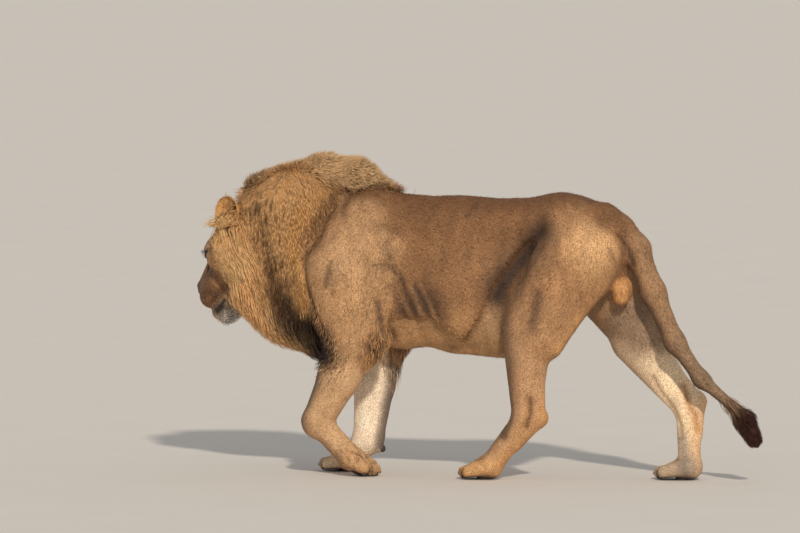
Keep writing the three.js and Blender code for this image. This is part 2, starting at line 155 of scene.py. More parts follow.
camera_data = bpy.data.cameras.new("camera")
camera_data.lens = CAMERA_LENS
camera_data.sensor_width = SENSOR_WIDTH
camera_data.clip_end = 1000
camera = in_scene("camera", camera_data)
bpy.context.scene.camera = camera
away = Vector((
    math.sin(CAMERA_AZIMUTH) * math.cos(CAMERA_ELEVATION),
    -math.cos(CAMERA_AZIMUTH) * math.cos(CAMERA_ELEVATION),
    math.sin(CAMERA_ELEVATION),
))
camera.location = Vector(at(-300, 0, 793)) + away * CAMERA_DISTANCE
camera.rotation_mode = "QUATERNION"
camera.rotation_quaternion = (-away).to_track_quat("-Z", "Y")
print("camera at", [round(v, 2) for v in camera.location])

# %% [markdown]
# ## Flesh
# A real body is muscles and bone under a loose skin. Here each muscle is a tapered round rod, and a
# smooth union of rods gives a distance: how far any point is outside the flesh. The solids of the
# frame were grown from the same rods, with the coat's depth added, so a skin that lies where this
# distance is zero fits inside them all over. Metaballs would give a like surface, but a distance
# can also be asked where the hair lies, how thick a limb is, and which part a point belongs to.

# %% Muscles and how they blend
ACROSS = np.array([0.0, 1.0, 0.0])
FAR, NOWHERE = 1.0, 10.0
REACH = 110 * MM


def muscle(start, start_radius, end, end_radius, flat=1.0, side=ACROSS, lie=1):
    """A tapered rod. Its hair lies from start to end, or the other way where lie is -1."""
    return {
        "start": start,
        "along": end - start,
        "radii": (start_radius * MM, end_radius * MM),
        "flat": flat,
        "side": side,
        "lie": lie,
    }


def bone(start, start_radius, end, end_radius, flat=1.0, lie=-1):
    radii = start_radius * HEAD_SIZE, end_radius * HEAD_SIZE
    return muscle(start, radii[0], end, radii[1], flat, LEFTWARD, lie)


def shifted(place, x, y, z):
    return place + np.array([x, y, z]) * MM


def between(start, end, share):
    return start + (end - start) * share


print("reach of a muscle:", REACH, "m")


# %% [markdown]
# A point asks each rod how far away it is. Points far from a rod are left out, which saves most of
# the time. The smooth union takes the least distance, a little less where two are nearly equal.

# %% Distances
def near_rod(rod, points):
    """Which points come close to a rod, so that the others can be left out."""
    ends = np.array([rod["start"], rod["start"] + rod["along"]])
    reach = max(rod["radii"]) * max(rod["flat"], 1) + REACH
    return np.all((points > ends.min(0) - reach) & (points < ends.max(0) + reach), axis=1)


def outside(rod, points):
    """How far each point is outside one rod, negative inside it, and FAR where it is far away."""
    distance = np.full(len(points), FAR)
    near = near_rod(rod, points)
    arm = points[near] - rod["start"]
    along, side = rod["along"], rod["side"]
    share = np.clip(arm @ along / (along @ along), 0, 1)
    out = arm - share[:, None] * along
    plain = np.linalg.norm(out, axis=1)
    out += np.outer(out @ side * (1 / rod["flat"] - 1), side)
    stretched = np.maximum(np.linalg.norm(out, axis=1), 1e-9)
    first, last = rod["radii"]
    distance[near] = (stretched - first - share * (last - first)) * np.minimum(1, plain / stretched)
    return distance


def blended(distances, blend):
    """The smooth union of several distances, rounded where they meet by about blend."""
    union = np.full(len(distances[0]), NOWHERE)
    for distance in distances:
        mix = np.maximum(blend - np.abs(union - distance), 0) / blend
        union = np.minimum(union, distance) - mix * mix * blend / 4
    return union


print("two rods 20 mm away:", blended([np.array([0.02])] * 2, 0.04), "m from their union")

# %% [markdown]
# ## The trunk
# Ribs, belly and flanks are wide rods, flattened from side to side, and the spine, rump and breast
# run over and under them.

# %% Trunk muscles
TRUNK = [
    muscle(at(-350, 0, 792), 262, at(-70, 0, 772), 276, 0.6),
    muscle(at(-40, 0, 705), 232, at(110, 0, 695), 232, 0.7),
    muscle(at(110, 0, 710), 226, at(330, 0, 800), 160, 0.66),
    muscle(at(-100, 0, 952), 98, at(345, 0, 956), 112, 1.2),
    muscle(at(345, 0, 956), 112, at(480, 0, 915), 128, 1.1),
    muscle(at(510, 0, 920), 106, at(560, 0, 915), 72),
    muscle(at(450, 0, 830), 96, at(540, 0, 800), 56, 0.7),
    muscle(at(-440, 0, 1000), 78, at(-240, 0, 975), 74, 0.95),
    muscle(at(-545, 0, 650), 115, at(-290, 0, 600), 116, 0.85),
]
SCROTUM = [muscle(at(556, 0, 780), 26, at(576, 0, 750), 26)]
for side in (LEFT, RIGHT):
    drop = 9 if side == LEFT else -7
    SCROTUM.append(muscle(at(581, side * 20, 730 - drop), 34, at(583, side * 20, 706 - drop), 31))
print("trunk rods:", len(TRUNK))

# %% [markdown]
# ## The legs
# The joints give the pose: the left foreleg ends its stride on its toe tips, the right one is
# planted, the left hind leg is under the belly, and the right one pushes off. The same muscles hang
# on each pair of legs.

# %% Joints
FORELEGS = {
    LEFT: {
        "shoulder": at(-530, -135, 762),
        "elbow": at(-434, -150, 500),
        "wrist": at(-592, -118, 205),
        "knuckle": at(-464, -102, 68),
        "toe": at(-376, -98, 24),
    },
    RIGHT: {
        "shoulder": at(-515, 135, 752),
        "elbow": at(-434, 148, 488),
        "wrist": at(-462, 112, 130),
        "knuckle": at(-526, 102, 44),
        "toe": at(-628, 100, 27),
    },
}
HIND_LEGS = {
    LEFT: {
        "hip": at(447, -105, 876),
        "knee": at(240, -152, 580),
        "hock": at(246, -118, 248),
        "heel": at(288, -116, 238),
        "knuckle": at(92, -105, 50),
        "toe": at(-4, -104, 27),
    },
    RIGHT: {
        "hip": at(447, 105, 876),
        "knee": at(582, 148, 526),
        "hock": at(808, 108, 284),
        "heel": at(846, 106, 300),
        "knuckle": at(818, 102, 50),
        "toe": at(706, 102, 27),
    },
}
TOE_PLACES = (-1.5, -0.5, 0.5, 1.5)
TOE_SPREAD = 31
TOE_RADIUS = 24
OUTER_TOE_SET_BACK = 24
FORE_WIDTH, HIND_WIDTH = 1.08, 1.0
print("left stride:", ((HIND_LEGS[LEFT]["toe"] - FORELEGS[LEFT]["toe"])[0] / MM).round(), "mm")


# %% [markdown]
# Each muscle hangs between two joints, or between a joint and a place on the trunk. They could be
# typed out for all four legs, but a function of the side makes a pair from the same few numbers, so
# both legs of a pair stay alike whatever their pose.

# %% Foreleg muscles
def shoulder_muscles(side):
    shoulder, elbow = (FORELEGS[side][name] for name in ("shoulder", "elbow"))
    blade = at(-410, side * 100, 985)
    upper_arm = at(-345, side * 150, 850)
    breast = at(-560, side * 60, 700)
    arm_top = shifted(shoulder, 0, side * 14, 0)
    return [
        muscle(blade, 76, shifted(shoulder, 15, side * 22, 20), 112, 0.6),
        muscle(upper_arm, 104, shifted(elbow, 55, side * 4, 50), 66, 0.6),
        muscle(arm_top, 108, shifted(elbow, -8, side * 4, 25), 88, 0.7),
        muscle(breast, 100, shifted(breast, 80, side * 45, -100), 84, 0.85),
        muscle(elbow, 66, shifted(elbow, 62, 0, 20), 42, 0.75, lie=0),
    ]


def forearm_muscles(side):
    elbow, wrist, knuckle = (FORELEGS[side][name] for name in ("elbow", "wrist", "knuckle"))
    belly = between(elbow, wrist, 0.42)
    return [
        muscle(elbow, 87, belly, 79, 0.76),
        muscle(belly, 79, wrist, 58, 0.84),
        muscle(wrist, 55, shifted(wrist, 0, 0, -10), 52, 1.02),
        muscle(wrist, 46, knuckle, 44, 1.08),
    ]


print("rods in a foreleg:", len(shoulder_muscles(LEFT) + forearm_muscles(LEFT)))


# %% [markdown]
# The thigh is a broad fan of four muscles that meet at the knee. Below it the shank is thin, with a
# calf behind, and a cord from the calf to the heel.

# %% Hind leg muscles
def thigh_muscles(side):
    hip, knee = (HIND_LEGS[side][name] for name in ("hip", "knee"))
    croup = at(390, side * 80, 965)
    rump = at(512, side * 88, 850)
    groin = at(450, side * 64, 790)
    hip_front = shifted(hip, -40, side * 26, -60)
    return [
        muscle(croup, 96, shifted(hip, 0, side * 12, 0), 116, 0.8),
        muscle(hip_front, 148, shifted(knee, 6, side * 4, 22), 92, 0.6),
        muscle(rump, 76, shifted(knee, 84, 0, -45), 76, 0.66),
        muscle(groin, 112, shifted(knee, 60, side * -12, 20), 84, 0.72),
    ]


def shank_muscles(side):
    knee, hock, heel, knuckle = (
        HIND_LEGS[side][name] for name in ("knee", "hock", "heel", "knuckle"))
    calf = shifted(between(knee, hock, 0.5), 22, 0, 4)
    return [
        muscle(shifted(knee, 0, 0, -8), 86, shifted(hock, -8, 0, 0), 54, 0.74),
        muscle(shifted(knee, 60, 0, -30), 72, calf, 52, 0.78),
        muscle(calf, 50, heel, 26, 0.62),
        muscle(hock, 50, heel, 30, 0.8, lie=0),
        muscle(hock, 46, knuckle, 42, 0.96),
        muscle(heel, 30, between(heel, knuckle, 0.5), 32, 0.9),
    ]


def toe_muscles(leg, width):
    knuckle, toe = leg["knuckle"], leg["toe"]
    way = unit(toe - knuckle)
    toes = []
    for place in TOE_PLACES:
        set_back = (abs(place) - 0.5) * OUTER_TOE_SET_BACK * MM
        root = shifted(knuckle, 0, place * TOE_SPREAD * 0.8 * width, 0)
        tip = shifted(toe, 0, place * TOE_SPREAD * width, 0) - way * set_back
        toes.append(muscle(root, 32, tip, TOE_RADIUS))
    return toes + [muscle(knuckle, 46, between(knuckle, toe, 0.2), 44, 1.15)]


print("rods in a hind leg:", len(thigh_muscles(LEFT) + shank_muscles(LEFT)))

# %% [markdown]
# ## The tail
# The tail is thick and muscular at its root. It hangs past the hocks and ends in a tuft.

# %% Tail muscles
TAIL = [
    at(568, 0, 935),
    at(636, -5, 878),
    at(706, -12, 715),
    at(793, -18, 530),
    at(897, -20, 392),
    at(1010, -18, 300),
    at(1066, -16, 240),
    at(1104, -14, 166),
]
TAIL_RADII = (62, 48, 42, 33, 25, 18)
TAIL_LENGTHS = [
    muscle(TAIL[i], TAIL_RADII[i], TAIL[i + 1], TAIL_RADII[i + 1]) for i in range(5)
]
print("tail:", round(sum(np.linalg.norm(rod["along"]) for rod in TAIL_LENGTHS), 2), "m")

# %% [markdown]
# ## The head
# The skull, muzzle and jaw are rods too, with brows, cheekbones, jowls and whisker pads in pairs.

# %% Head bones
SKULL = [
    bone(on_head(40, 0, 14), 94, on_head(165, 0, 8), 84),
    bone(on_head(130, 0, 62), 52, on_head(200, 0, 60), 46, 1.35),
    bone(on_head(210, 0, 46), 44, on_head(332, 0, 10), 34, 1.02),
    bone(on_head(200, 0, -14), 60, on_head(318, 0, -24), 48, 1.05),
]
for side in (LEFT, RIGHT):
    SKULL += [
        bone(on_cheek(side, 186, 46, 80), 22, on_cheek(side, 214, 54, 74), 17),
        bone(on_cheek(side, 85, 84, 4), 46, on_cheek(side, 192, 70, 18), 36),
        bone(on_cheek(side, 60, 60, 50), 50, on_cheek(side, 36, 96, 72), 34, lie=1),
        bone(on_cheek(side, 70, 66, -46), 56, on_cheek(side, 176, 50, -58), 40),
        bone(on_cheek(side, 262, 36, -34), 42, on_cheek(side, 326, 28, -46), 40),
    ]
JAW = [
    bone(on_head(110, 0, -74), 46, on_head(300, 0, -100), 43, 1.1),
    bone(on_head(290, 0, -100), 43, on_head(326, 0, -106), 39, 1.05),
]
for side in (LEFT, RIGHT):
    JAW.append(bone(on_cheek(side, 250, 40, -95), 18, on_cheek(side, 342, 16, -97), 18))
NOSE = [bone(on_head(348, 0, 16), 21, on_head(357, 0, 0), 20, 1.7)]
print("skull rods:", len(SKULL), "jaw rods:", len(JAW))

# %% [markdown]
# ## The mane's mass
# Long hair is so dense that its roots and middles read as one mass. So the skin swells out under the
# mane, to a lock's height below the outline, and only the outer locks are made as hair.

# %% Mane masses
NECK_DEPTH, CREST_DEPTH, CHEST_DEPTH, RUFF_DEPTH, TUFT_DEPTH = 26, 36, 30, 16, 18
COLLAR = [
    muscle(at(-700, 5, 1000), 185 - NECK_DEPTH, at(-650, 0, 640), 160 - NECK_DEPTH, 1.15),
    muscle(at(-838, 30, 990), 134 - NECK_DEPTH, at(-842, 25, 800), 132 - NECK_DEPTH, 1.05),
    muscle(at(-850, 12, 752), 126 - NECK_DEPTH, at(-740, 0, 610), 130 - NECK_DEPTH, 1.1),
    muscle(at(-905, 22, 680), 88 - NECK_DEPTH, at(-800, 0, 632), 104 - NECK_DEPTH),
]
NECK = [
    muscle(at(-780, 10, 900), 120, at(-430, 0, 890), 160, lie=0),
    muscle(at(-760, 0, 700), 100, at(-480, 0, 640), 130, lie=0),
    muscle(at(-680, 0, 1050), 80, at(-400, 0, 1010), 90, lie=0),
]
CREST = [
    muscle(at(-868, 24, 1070), 86 - CREST_DEPTH, at(-600, 0, 1140), 88 - CREST_DEPTH, 0.9),
    muscle(at(-600, 0, 1140), 88 - CREST_DEPTH, at(-470, 0, 1120), 92 - CREST_DEPTH, 0.9),
    muscle(at(-470, 0, 1120), 92 - CREST_DEPTH, at(-335, 0, 1070), 20, 0.9),
]
BIB = [
    muscle(at(-720, 0, 600), 120 - CHEST_DEPTH, at(-590, 0, 530), 96 - CHEST_DEPTH, 1.2),
    muscle(at(-590, 0, 530), 96 - CHEST_DEPTH, at(-500, 0, 520), 76 - CHEST_DEPTH, 1.3),
]
RUFF = [bone(on_head(120, 0, -70), 84, on_head(170, 0, -112), 44, 1.3, lie=0)]
for side in (LEFT, RIGHT):
    top, cheek, throat = (on_cheek(side, *place) for place in (
        (60, 84, 60), (100, 96, -20), (150, 50, -120)))
    RUFF += [
        bone(top, 52 - RUFF_DEPTH, cheek, 56 - RUFF_DEPTH, lie=1),
        bone(cheek, 56 - RUFF_DEPTH, throat, 50 - RUFF_DEPTH, lie=1),
    ]
TUFT = [
    muscle(TAIL[5], 12, TAIL[6], 42 - TUFT_DEPTH),
    muscle(TAIL[6], 42 - TUFT_DEPTH, between(TAIL[6], TAIL[7], 0.9), 36 - TUFT_DEPTH),
]
print("depth of the crest's hair:", CREST_DEPTH, "mm")


# %% [markdown]
# ## One flesh
# Each part is a smooth union of its own rods, and the parts join with a roundness of their own: wide
# where a leg leaves the trunk, and tight at the lips.

# %% Parts and their joins
def leg_parts(side):
    fore = [
        ("shoulder", shoulder_muscles(side), 70, 40),
        ("forearm", forearm_muscles(side), 22, 22),
        ("fore_toes", toe_muscles(FORELEGS[side], FORE_WIDTH), 10, 18),
    ]
    hind = [
        ("thigh", thigh_muscles(side), 50, 40),
        ("shank", shank_muscles(side), 22, 22),
        ("hind_toes", toe_muscles(HIND_LEGS[side], HIND_WIDTH), 10, 18),
    ]
    return fore + hind


PARTS = [("trunk", TRUNK, 70, 40), ("neck", NECK, 60, 40)]
PARTS += leg_parts(LEFT) + leg_parts(RIGHT)
PARTS += [
    ("scrotum", SCROTUM, 7, 8),
    ("tail", TAIL_LENGTHS, 40, 20),
    ("tuft", TUFT, 30, 20),
    ("collar", COLLAR, 60, 30),
    ("crest", CREST, 40, 24),
    ("bib", BIB, 50, 24),
    ("ruff", RUFF, 30, 20),
    ("skull", SKULL, 26, 16),
    ("jaw", JAW, 20, 7),
    ("nose", NOSE, 4, 5),
]


def part_distances(points):
    return {
        i: blended([outside(rod, points) for rod in rods], blend * MM)
        for i, (_, rods, blend, _) in enumerate(PARTS)
    }


def flesh(points):
    """How far each point is outside the whole lion's flesh."""
    union = np.full(len(points), NOWHERE)
    for i, distance in part_distances(points).items():
        union = blended([union, distance], PARTS[i][3] * MM)
    return union


def hair_lie(points):
    """The way the hair lies at each point: along the muscles that are near."""
    way = np.zeros_like(points)
    for _, rods, _, _ in PARTS:
        for rod in rods:
            weight = np.exp(-np.maximum(outside(rod, points), -10 * MM) / (14 * MM))
            length = np.linalg.norm(rod["along"])
            way += weight[:, None] * rod["along"] * rod["lie"] / length
    return units(way)


print("rods:", sum(len(rods) for _, rods, _, _ in PARTS))

# %% [markdown]
# ## The skin
# The skin starts from the frame's own solids. They are copied, merged, made a little fatter so that
# the thin cuts between them close, and remeshed into one closed surface of even squares. Then its
# vertices slide along their normals until the flesh distance is zero, with some smoothing between.

# %% Arrays of a mesh
def mesh_of(bm, name):
    mesh = bpy.data.meshes.new(name)
    bm.to_mesh(mesh)
    bm.free()
    return mesh


def shade_smooth(mesh):
    mesh.polygons.foreach_set("use_smooth", [True] * len(mesh.polygons))


def vertex_values(mesh, name="co"):
    values = np.empty(len(mesh.vertices) * 3, np.float32)
    mesh.vertices.foreach_get(name, values)
    return values.reshape(-1, 3).astype(float)


def place_vertices(mesh, points):
    mesh.vertices.foreach_set("co", points.astype(np.float32).ravel())
    mesh.update()


def slope(points, distance):
    """The way in which the distance grows fastest."""
    step = 2 * MM
    grown = [flesh(points + step * axis) - distance for axis in np.eye(3)]
    way = np.stack(grown, axis=1)
    return units(way)


def settle(mesh, rounds, most=12 * MM):
    """Slides vertices along their normals to where the distance is zero. Far ones take the slope."""
    for _ in range(rounds):
        points, way = vertex_values(mesh), vertex_values(mesh, "normal")
        distance = flesh(points)
        far = np.abs(distance) > 2 * MM
        if far.any():
            way[far] = slope(points[far], distance[far])
        points -= way * np.clip(distance, -most, most)[:, None]
        place_vertices(mesh, points)


def smooth(mesh, rounds, factor=0.5):
    bm = bmesh.new()
    bm.from_mesh(mesh)
    for _ in range(rounds):
        bmesh.ops.smooth_vert(
            bm, verts=bm.verts, factor=factor, use_axis_x=True, use_axis_y=True, use_axis_z=True)
    bm.to_mesh(mesh)
    bm.free()
    mesh.update()


print("solids' corners:", sum(len(node.data.vertices) for node in frame["nodes"].values()))

# %% [markdown]
# The copy of the solids becomes one surface. A boolean union would keep every sharp seam and long
# thin triangle between the parts. A remesh into even squares forgets them, and is easy to smooth.

# %% Remesh the solids into one surface
VOXEL = 11 * MM
CLOSING = 2.5 * MM
EYE_NODES = ("eye_left", "eye_right")
EAR_NODES = ("ear_left", "ear_right")
SOLID_NODES = [name for name in frame["nodes"] if name not in EAR_NODES]


def merged_solids(nodes):
    bm = bmesh.new()
    for name in nodes:
        bm.from_mesh(frame["nodes"][name].data)
    bmesh.ops.remove_doubles(bm, verts=bm.verts, dist=1e-5)
    bm.normal_update()
    for vertex in bm.verts:
        vertex.co += vertex.normal * CLOSING
    return mesh_of(bm, "solids")


def remeshed(mesh, voxel):
    scratch = in_scene("scratch", mesh)
    remesh = scratch.modifiers.new("remesh", "REMESH")
    remesh.mode = "VOXEL"
    remesh.voxel_size = voxel
    result = bpy.data.meshes.new_from_object(
        scratch.evaluated_get(bpy.context.evaluated_depsgraph_get()))
    bpy.data.objects.remove(scratch)
    return result


def islands(bm):
    """The connected pieces of a bmesh, as lists of vertices, the largest first."""
    unseen, found = set(bm.verts), []
    while unseen:
        island, edge_of_island = [], [unseen.pop()]
        while edge_of_island:
            vertex = edge_of_island.pop()
            island.append(vertex)
            for edge in vertex.link_edges:
                other = edge.other_vert(vertex)
                if other in unseen:
                    unseen.remove(other)
                    edge_of_island.append(other)
        found.append(island)
    return sorted(found, key=len, reverse=True)


def keep_outer_surface(mesh):
    """Deletes the small hollows that the thin cuts leave inside."""
    bm = bmesh.new()
    bm.from_mesh(mesh)
    hollows = [vertex for island in islands(bm)[1:] for vertex in island]
    bmesh.ops.delete(bm, geom=hollows, context="VERTS")
    bm.to_mesh(mesh)
    bm.free()
    return len(hollows)


skin_mesh = remeshed(merged_solids(SOLID_NODES), VOXEL)
print("vertices of inner hollows:", keep_outer_surface(skin_mesh))
for _ in range(5):
    smooth(skin_mesh, 4)
    settle(skin_mesh, 2)
print("skin:", len(skin_mesh.polygons), "faces")

# %% [markdown]
# ## Finer squares where they are needed
# Eyelids, lips and nostrils are only a few millimetres across, and toes not much more. Rather than
# a fine mesh all over, the squares there are halved, and halved again round the eyes and nose.

# %% Lines on the skin
def ramp(value, start, end):
    """0 up to start, 1 from end on, and a soft step between them."""
    share = np.clip((value - start) / (end - start), 0, 1)
    return share * share * (3 - 2 * share)


def gap_to_line(points, line):
    """The distance from each point to a line of straight stretches."""
    gaps = []
    for start, end in zip(line[:-1], line[1:]):
        along = end - start
        share = np.clip((points - start) @ along / (along @ along), 0, 1)
        gaps.append(np.linalg.norm(points - start - share[:, None] * along, axis=1))
    return np.min(gaps, axis=0)


def upright(line):
    """A line on the lion's side, from places along and up the body."""
    return [np.array([x, 0, z]) for x, z in line]


LEDGE = [
    (-320, 600), (-215, 612), (-125, 618), (-63, 566), (-17, 532), (33, 580),
    (75, 640), (106, 713), (152, 793), (207, 873), (272, 935),
]


def above_ledge(points):
    """How far each point is above the edge of the loose skin of the flank, in millimetres."""
    flat = (points - ORIGIN) / MM * [1, 0, 1]
    gap = gap_to_line(flat, upright(LEDGE))
    edge = np.interp(flat[:, 0], *np.array(LEDGE).T)
    return gap * np.where(flat[:, 2] > edge, 1, -1)


def near_flank_edge(points):
    above = above_ledge(points)
    along, across, height = (points - ORIGIN).T / MM
    near = (np.abs(above) < 34) & (np.abs(across) > 70) & (along > -300) & (along < 260)
    return near & (height > 480)


print("loose edge of the flank:", len(LEDGE), "points")

# %% [markdown]
# The face and the paws are refined by halving edges. A subdivision modifier would do it too, but
# for the whole lion at once, which would give far more triangles than the plain flanks need.

# %% Refine the face and the paws
def near_any(points, places, reach):
    gaps = [np.linalg.norm(points - place, axis=1) for place in places]
    return np.min(gaps, axis=0) < reach * MM


def refine(mesh, chosen):
    """Halves the edges of the faces whose corners are all chosen."""
    picked = chosen(vertex_values(mesh))
    bm = bmesh.new()
    bm.from_mesh(mesh)
    bm.verts.ensure_lookup_table()
    faces = [face for face in bm.faces if all(picked[vertex.index] for vertex in face.verts)]
    edges = list({edge for face in faces for edge in face.edges})
    bmesh.ops.subdivide_edges(bm, edges=edges, cuts=1, use_grid_fill=True)
    bm.to_mesh(mesh)
    bm.free()
    mesh.update()


def on_face(points):
    forward, left, up = in_head(points).T
    return (forward > 120) & (np.abs(left) < 110) & (up > -150) & (up < 120)


def on_paws(points):
    legs = list(FORELEGS.values()) + list(HIND_LEGS.values())
    places = [between(leg["knuckle"], leg["toe"], share) for leg in legs for share in (0.2, 0.9)]
    return near_any(points, places, 75)


EYE_PLACES = [on_cheek(side, *EYE_PLACE) for side in (LEFT, RIGHT)]
MOUTH_LINE = [(364, 3, -88), (350, 26, -95), (320, 44, -102), (288, 52, -107), (262, 54, -103)]
MOUTH_PLACES = [on_cheek(side, *place) for side in (LEFT, RIGHT) for place in MOUTH_LINE[1:4]]
NOSE_PLACES = [on_head(356, 0, 4)]

refine(skin_mesh, lambda points: on_face(points) | on_paws(points))
settle(skin_mesh, 1)
smooth(skin_mesh, 2)
settle(skin_mesh, 2)
refine(skin_mesh, lambda points: near_any(points, EYE_PLACES, 52)
       | near_any(points, MOUTH_PLACES, 40) | near_any(points, NOSE_PLACES, 46))
refine(skin_mesh, lambda points: near_any(points, EYE_PLACES, 40)
       | near_any(points, NOSE_PLACES, 34))
smooth(skin_mesh, 2)
settle(skin_mesh, 2)
refine(skin_mesh, near_flank_edge)
print("skin:", len(skin_mesh.polygons), "faces")

# %% [markdown]
# ## Folds
# The skin of a big cat hangs loose, and creases where the limbs pull on it. A fold is a soft groove
# or ridge along a line: each vertex moves along its normal, the less the farther it is from the
# line. Body folds are drawn on the lion's side and pressed into both flanks, and folds of the face
# are drawn on the head's own axes.

# %% Lines of the folds
def press(points, normals, line, width, height, allowed=None):
    """Moves points along their normals by up to height, within about width of a line."""
    gap = gap_to_line(points, line) / (width * MM)
    move = height * MM * np.exp(-gap * gap)
    if allowed is not None:
        move = move * allowed
    return points + normals * move[:, None]


MANE_FOLD = [
    (-528, 1034), (-558, 975), (-570, 899), (-607, 834), (-610, 782), (-601, 695), (-583, 619),
]
SHOULDER_FOLD = [(-500, 819), (-512, 766), (-521, 725)]
NECK_FOLD = [(-472, 1052), (-488, 1000)]
RIB_FOLDS = [
    [(-242, 733), (-215, 672), (-196, 620)],
    [(-187, 734), (-160, 673), (-137, 630)],
    [(-132, 691), (-95, 614)],
    [(-279, 724), (-251, 663), (-233, 611)],
    [(-300, 812), (-262, 780), (-236, 742)],
]
RIB_RIDGES = [
    [(-264, 728), (-238, 664), (-215, 614)],
    [(-212, 744), (-186, 672), (-166, 616)],
    [(-160, 734), (-128, 664), (-108, 612)],
    [(-270, 820), (-232, 780), (-206, 742)],
]
ARMPIT = [(-329, 662), (-320, 592), (-302, 531)]
HOLLOW = [(308, 936), (235, 847), (161, 767), (129, 696)]
HOCK_FRONT, HOCK_BACK = [(185, 292), (180, 222), (160, 160)], [(263, 311), (263, 250), (245, 206)]
FAR_HOCK_BACK = [(794, 359), (818, 302), (846, 248), (857, 187)]
FAR_HOCK_FRONT = [(680, 390), (714, 333), (766, 272), (794, 210), (799, 161)]
HOCKS = (HOCK_FRONT, HOCK_BACK, FAR_HOCK_BACK, FAR_HOCK_FRONT)
SEAT_FOLDS = [[(595, 935), (623, 874), (636, 822)], [(572, 882), (591, 821), (604, 804)]]
BODY_FOLDS = [
    # places along and up the body, width, height
    ([(-395, 1000), (-330, 900), (-275, 780)], 22, -5),
    ([(-300, 930), (-262, 800), (-250, 690)], 26, -8),
    (MANE_FOLD, 14, -9),
    (SHOULDER_FOLD, 12, -5),
    (NECK_FOLD, 12, -4),
    (ARMPIT, 16, -9),
    (HOLLOW, 42, -20),
    (HOCK_FRONT, 11, -7),
    (HOCK_BACK, 13, -11),
    (FAR_HOCK_BACK, 12, -7),
    (FAR_HOCK_FRONT, 9, -4),
    ([(345, 1010), (375, 985)], 32, 6),
    ([(480, 930), (430, 800), (380, 690)], 26, -5),
] + [(line, 14, -6) for line in RIB_FOLDS] + [(line, 11, -7) for line in SEAT_FOLDS]
print("folds of the body:", len(BODY_FOLDS))


# %% [markdown]
# The flank's loose skin ends in an edge over the belly. It is pressed first, and the folds then cross
# it. Only skin that faces sideways moves, so that nothing happens to the back and the belly.

# %% Press the folds of the body
SIDE_SHARE = 0.45
LOWEST_FOLD = 0.42


def press_ledge(points, normals):
    """The flank's loose skin hangs in a point over the smooth belly, which lies deeper."""
    above = above_ledge(points)
    along = (points[:, 0] - ORIGIN[0]) / MM
    there = ramp(np.abs(normals[:, 1]), 0.2, 0.6) * ramp(along, -330, -170) * ramp(-along, -285, -230)
    there = there * (points[:, 2] > 400 * MM)
    raised = 8 * np.exp(-((above - 8) / 20) ** 2)
    sunk = -14 * ramp(-above, -4, 8) * ramp(above, -150, -50)
    return points + normals * ((raised + sunk) * there * MM)[:, None]


def fold_body(points, normals):
    points = press_ledge(points, normals)
    for places, width, height in BODY_FOLDS:
        line = [at(x, 0, z) for x, z in places]
        flat = points * [1, 0, 1]
        on_side = np.clip((np.abs(normals[:, 1]) - SIDE_SHARE) / 0.3, 0, 1)
        on_trunk = (points[:, 2] > LOWEST_FOLD) | (places in HOCKS)
        gap = gap_to_line(flat, line) / (width * MM)
        move = height * MM * np.exp(-gap * gap) * on_side * on_trunk
        points = points + normals * move[:, None]
    return points


print("deepest fold:", min(height for _, _, height in BODY_FOLDS), "mm")

# %% [markdown]
# Tendons, clefts and pads are drawn from the joints, so they stay on each leg in its own pose.

# %% Tendons, toes and pads
WRIST_PAD = (36, 8, -36)


def toe_clefts(leg, width):
    """The lines between the toes, over their tops and down their fronts."""
    knuckle, toe = leg["knuckle"], leg["toe"]
    way = unit(toe - knuckle)
    for place in (-1, 0, 1):
        tip = shifted(toe, 0, place * TOE_SPREAD * width, 0) - way * abs(place) * 12 * MM
        yield [
            shifted(between(knuckle, toe, 0.1), 0, place * TOE_SPREAD * 0.85 * width, 30),
            shifted(between(knuckle, toe, 0.6), 0, place * TOE_SPREAD * 0.95 * width, 28),
            shifted(tip + way * 6 * MM, 0, 0, 22),
            shifted(tip + way * 22 * MM, 0, 0, 6),
            shifted(tip + way * 20 * MM, 0, 0, -14),
        ]


def press_between_toes(points, normals, leg, width):
    knuckle, toe = leg["knuckle"], leg["toe"]
    for line in toe_clefts(leg, width):
        points = press(points, normals, line, 8, -11)
    for place in TOE_PLACES:
        joint = shifted(between(knuckle, toe, 0.52), 0, place * TOE_SPREAD * 0.95 * width, 22)
        points = press(points, normals, [joint, shifted(joint, -4, 0, -2)], 14, 6)
    return points


def shape_limbs(points, normals):
    for side in (LEFT, RIGHT):
        fore, hind = FORELEGS[side], HIND_LEGS[side]
        points = press_between_toes(points, normals, fore, FORE_WIDTH)
        points = press_between_toes(points, normals, hind, HIND_WIDTH)
        wrist_back = shifted(fore["wrist"], WRIST_PAD[0], side * WRIST_PAD[1], WRIST_PAD[2])
        points = press(points, normals, [wrist_back, shifted(wrist_back, 2, 0, -6)], 15, 12)
        for out in (LEFT, RIGHT):
            hollow = [
                shifted(between(hind["knee"], hind["heel"], 0.55), 30, out * 34, 0),
                shifted(hind["heel"], -20, out * 30, 28),
            ]
            points = press(points, normals, hollow, 17, -9)
            tendon = [
                shifted(between(fore["elbow"], fore["wrist"], 0.3), 6, out * 60, 0),
                shifted(fore["wrist"], 14, out * 46, 40),
            ]
            points = press(points, normals, tendon, 13, -5)
    return points


print("clefts in a paw:", len(list(toe_clefts(FORELEGS[LEFT], FORE_WIDTH))))

# %% [markdown]
# ## The face
# Brows, tear lines, nostrils, the groove under the nose and the lips are folds of the face. The
# lids are shaped round the eyeball: inside an almond opening the skin goes behind the ball, and
# round it the skin lies on the ball and then runs out into the face.

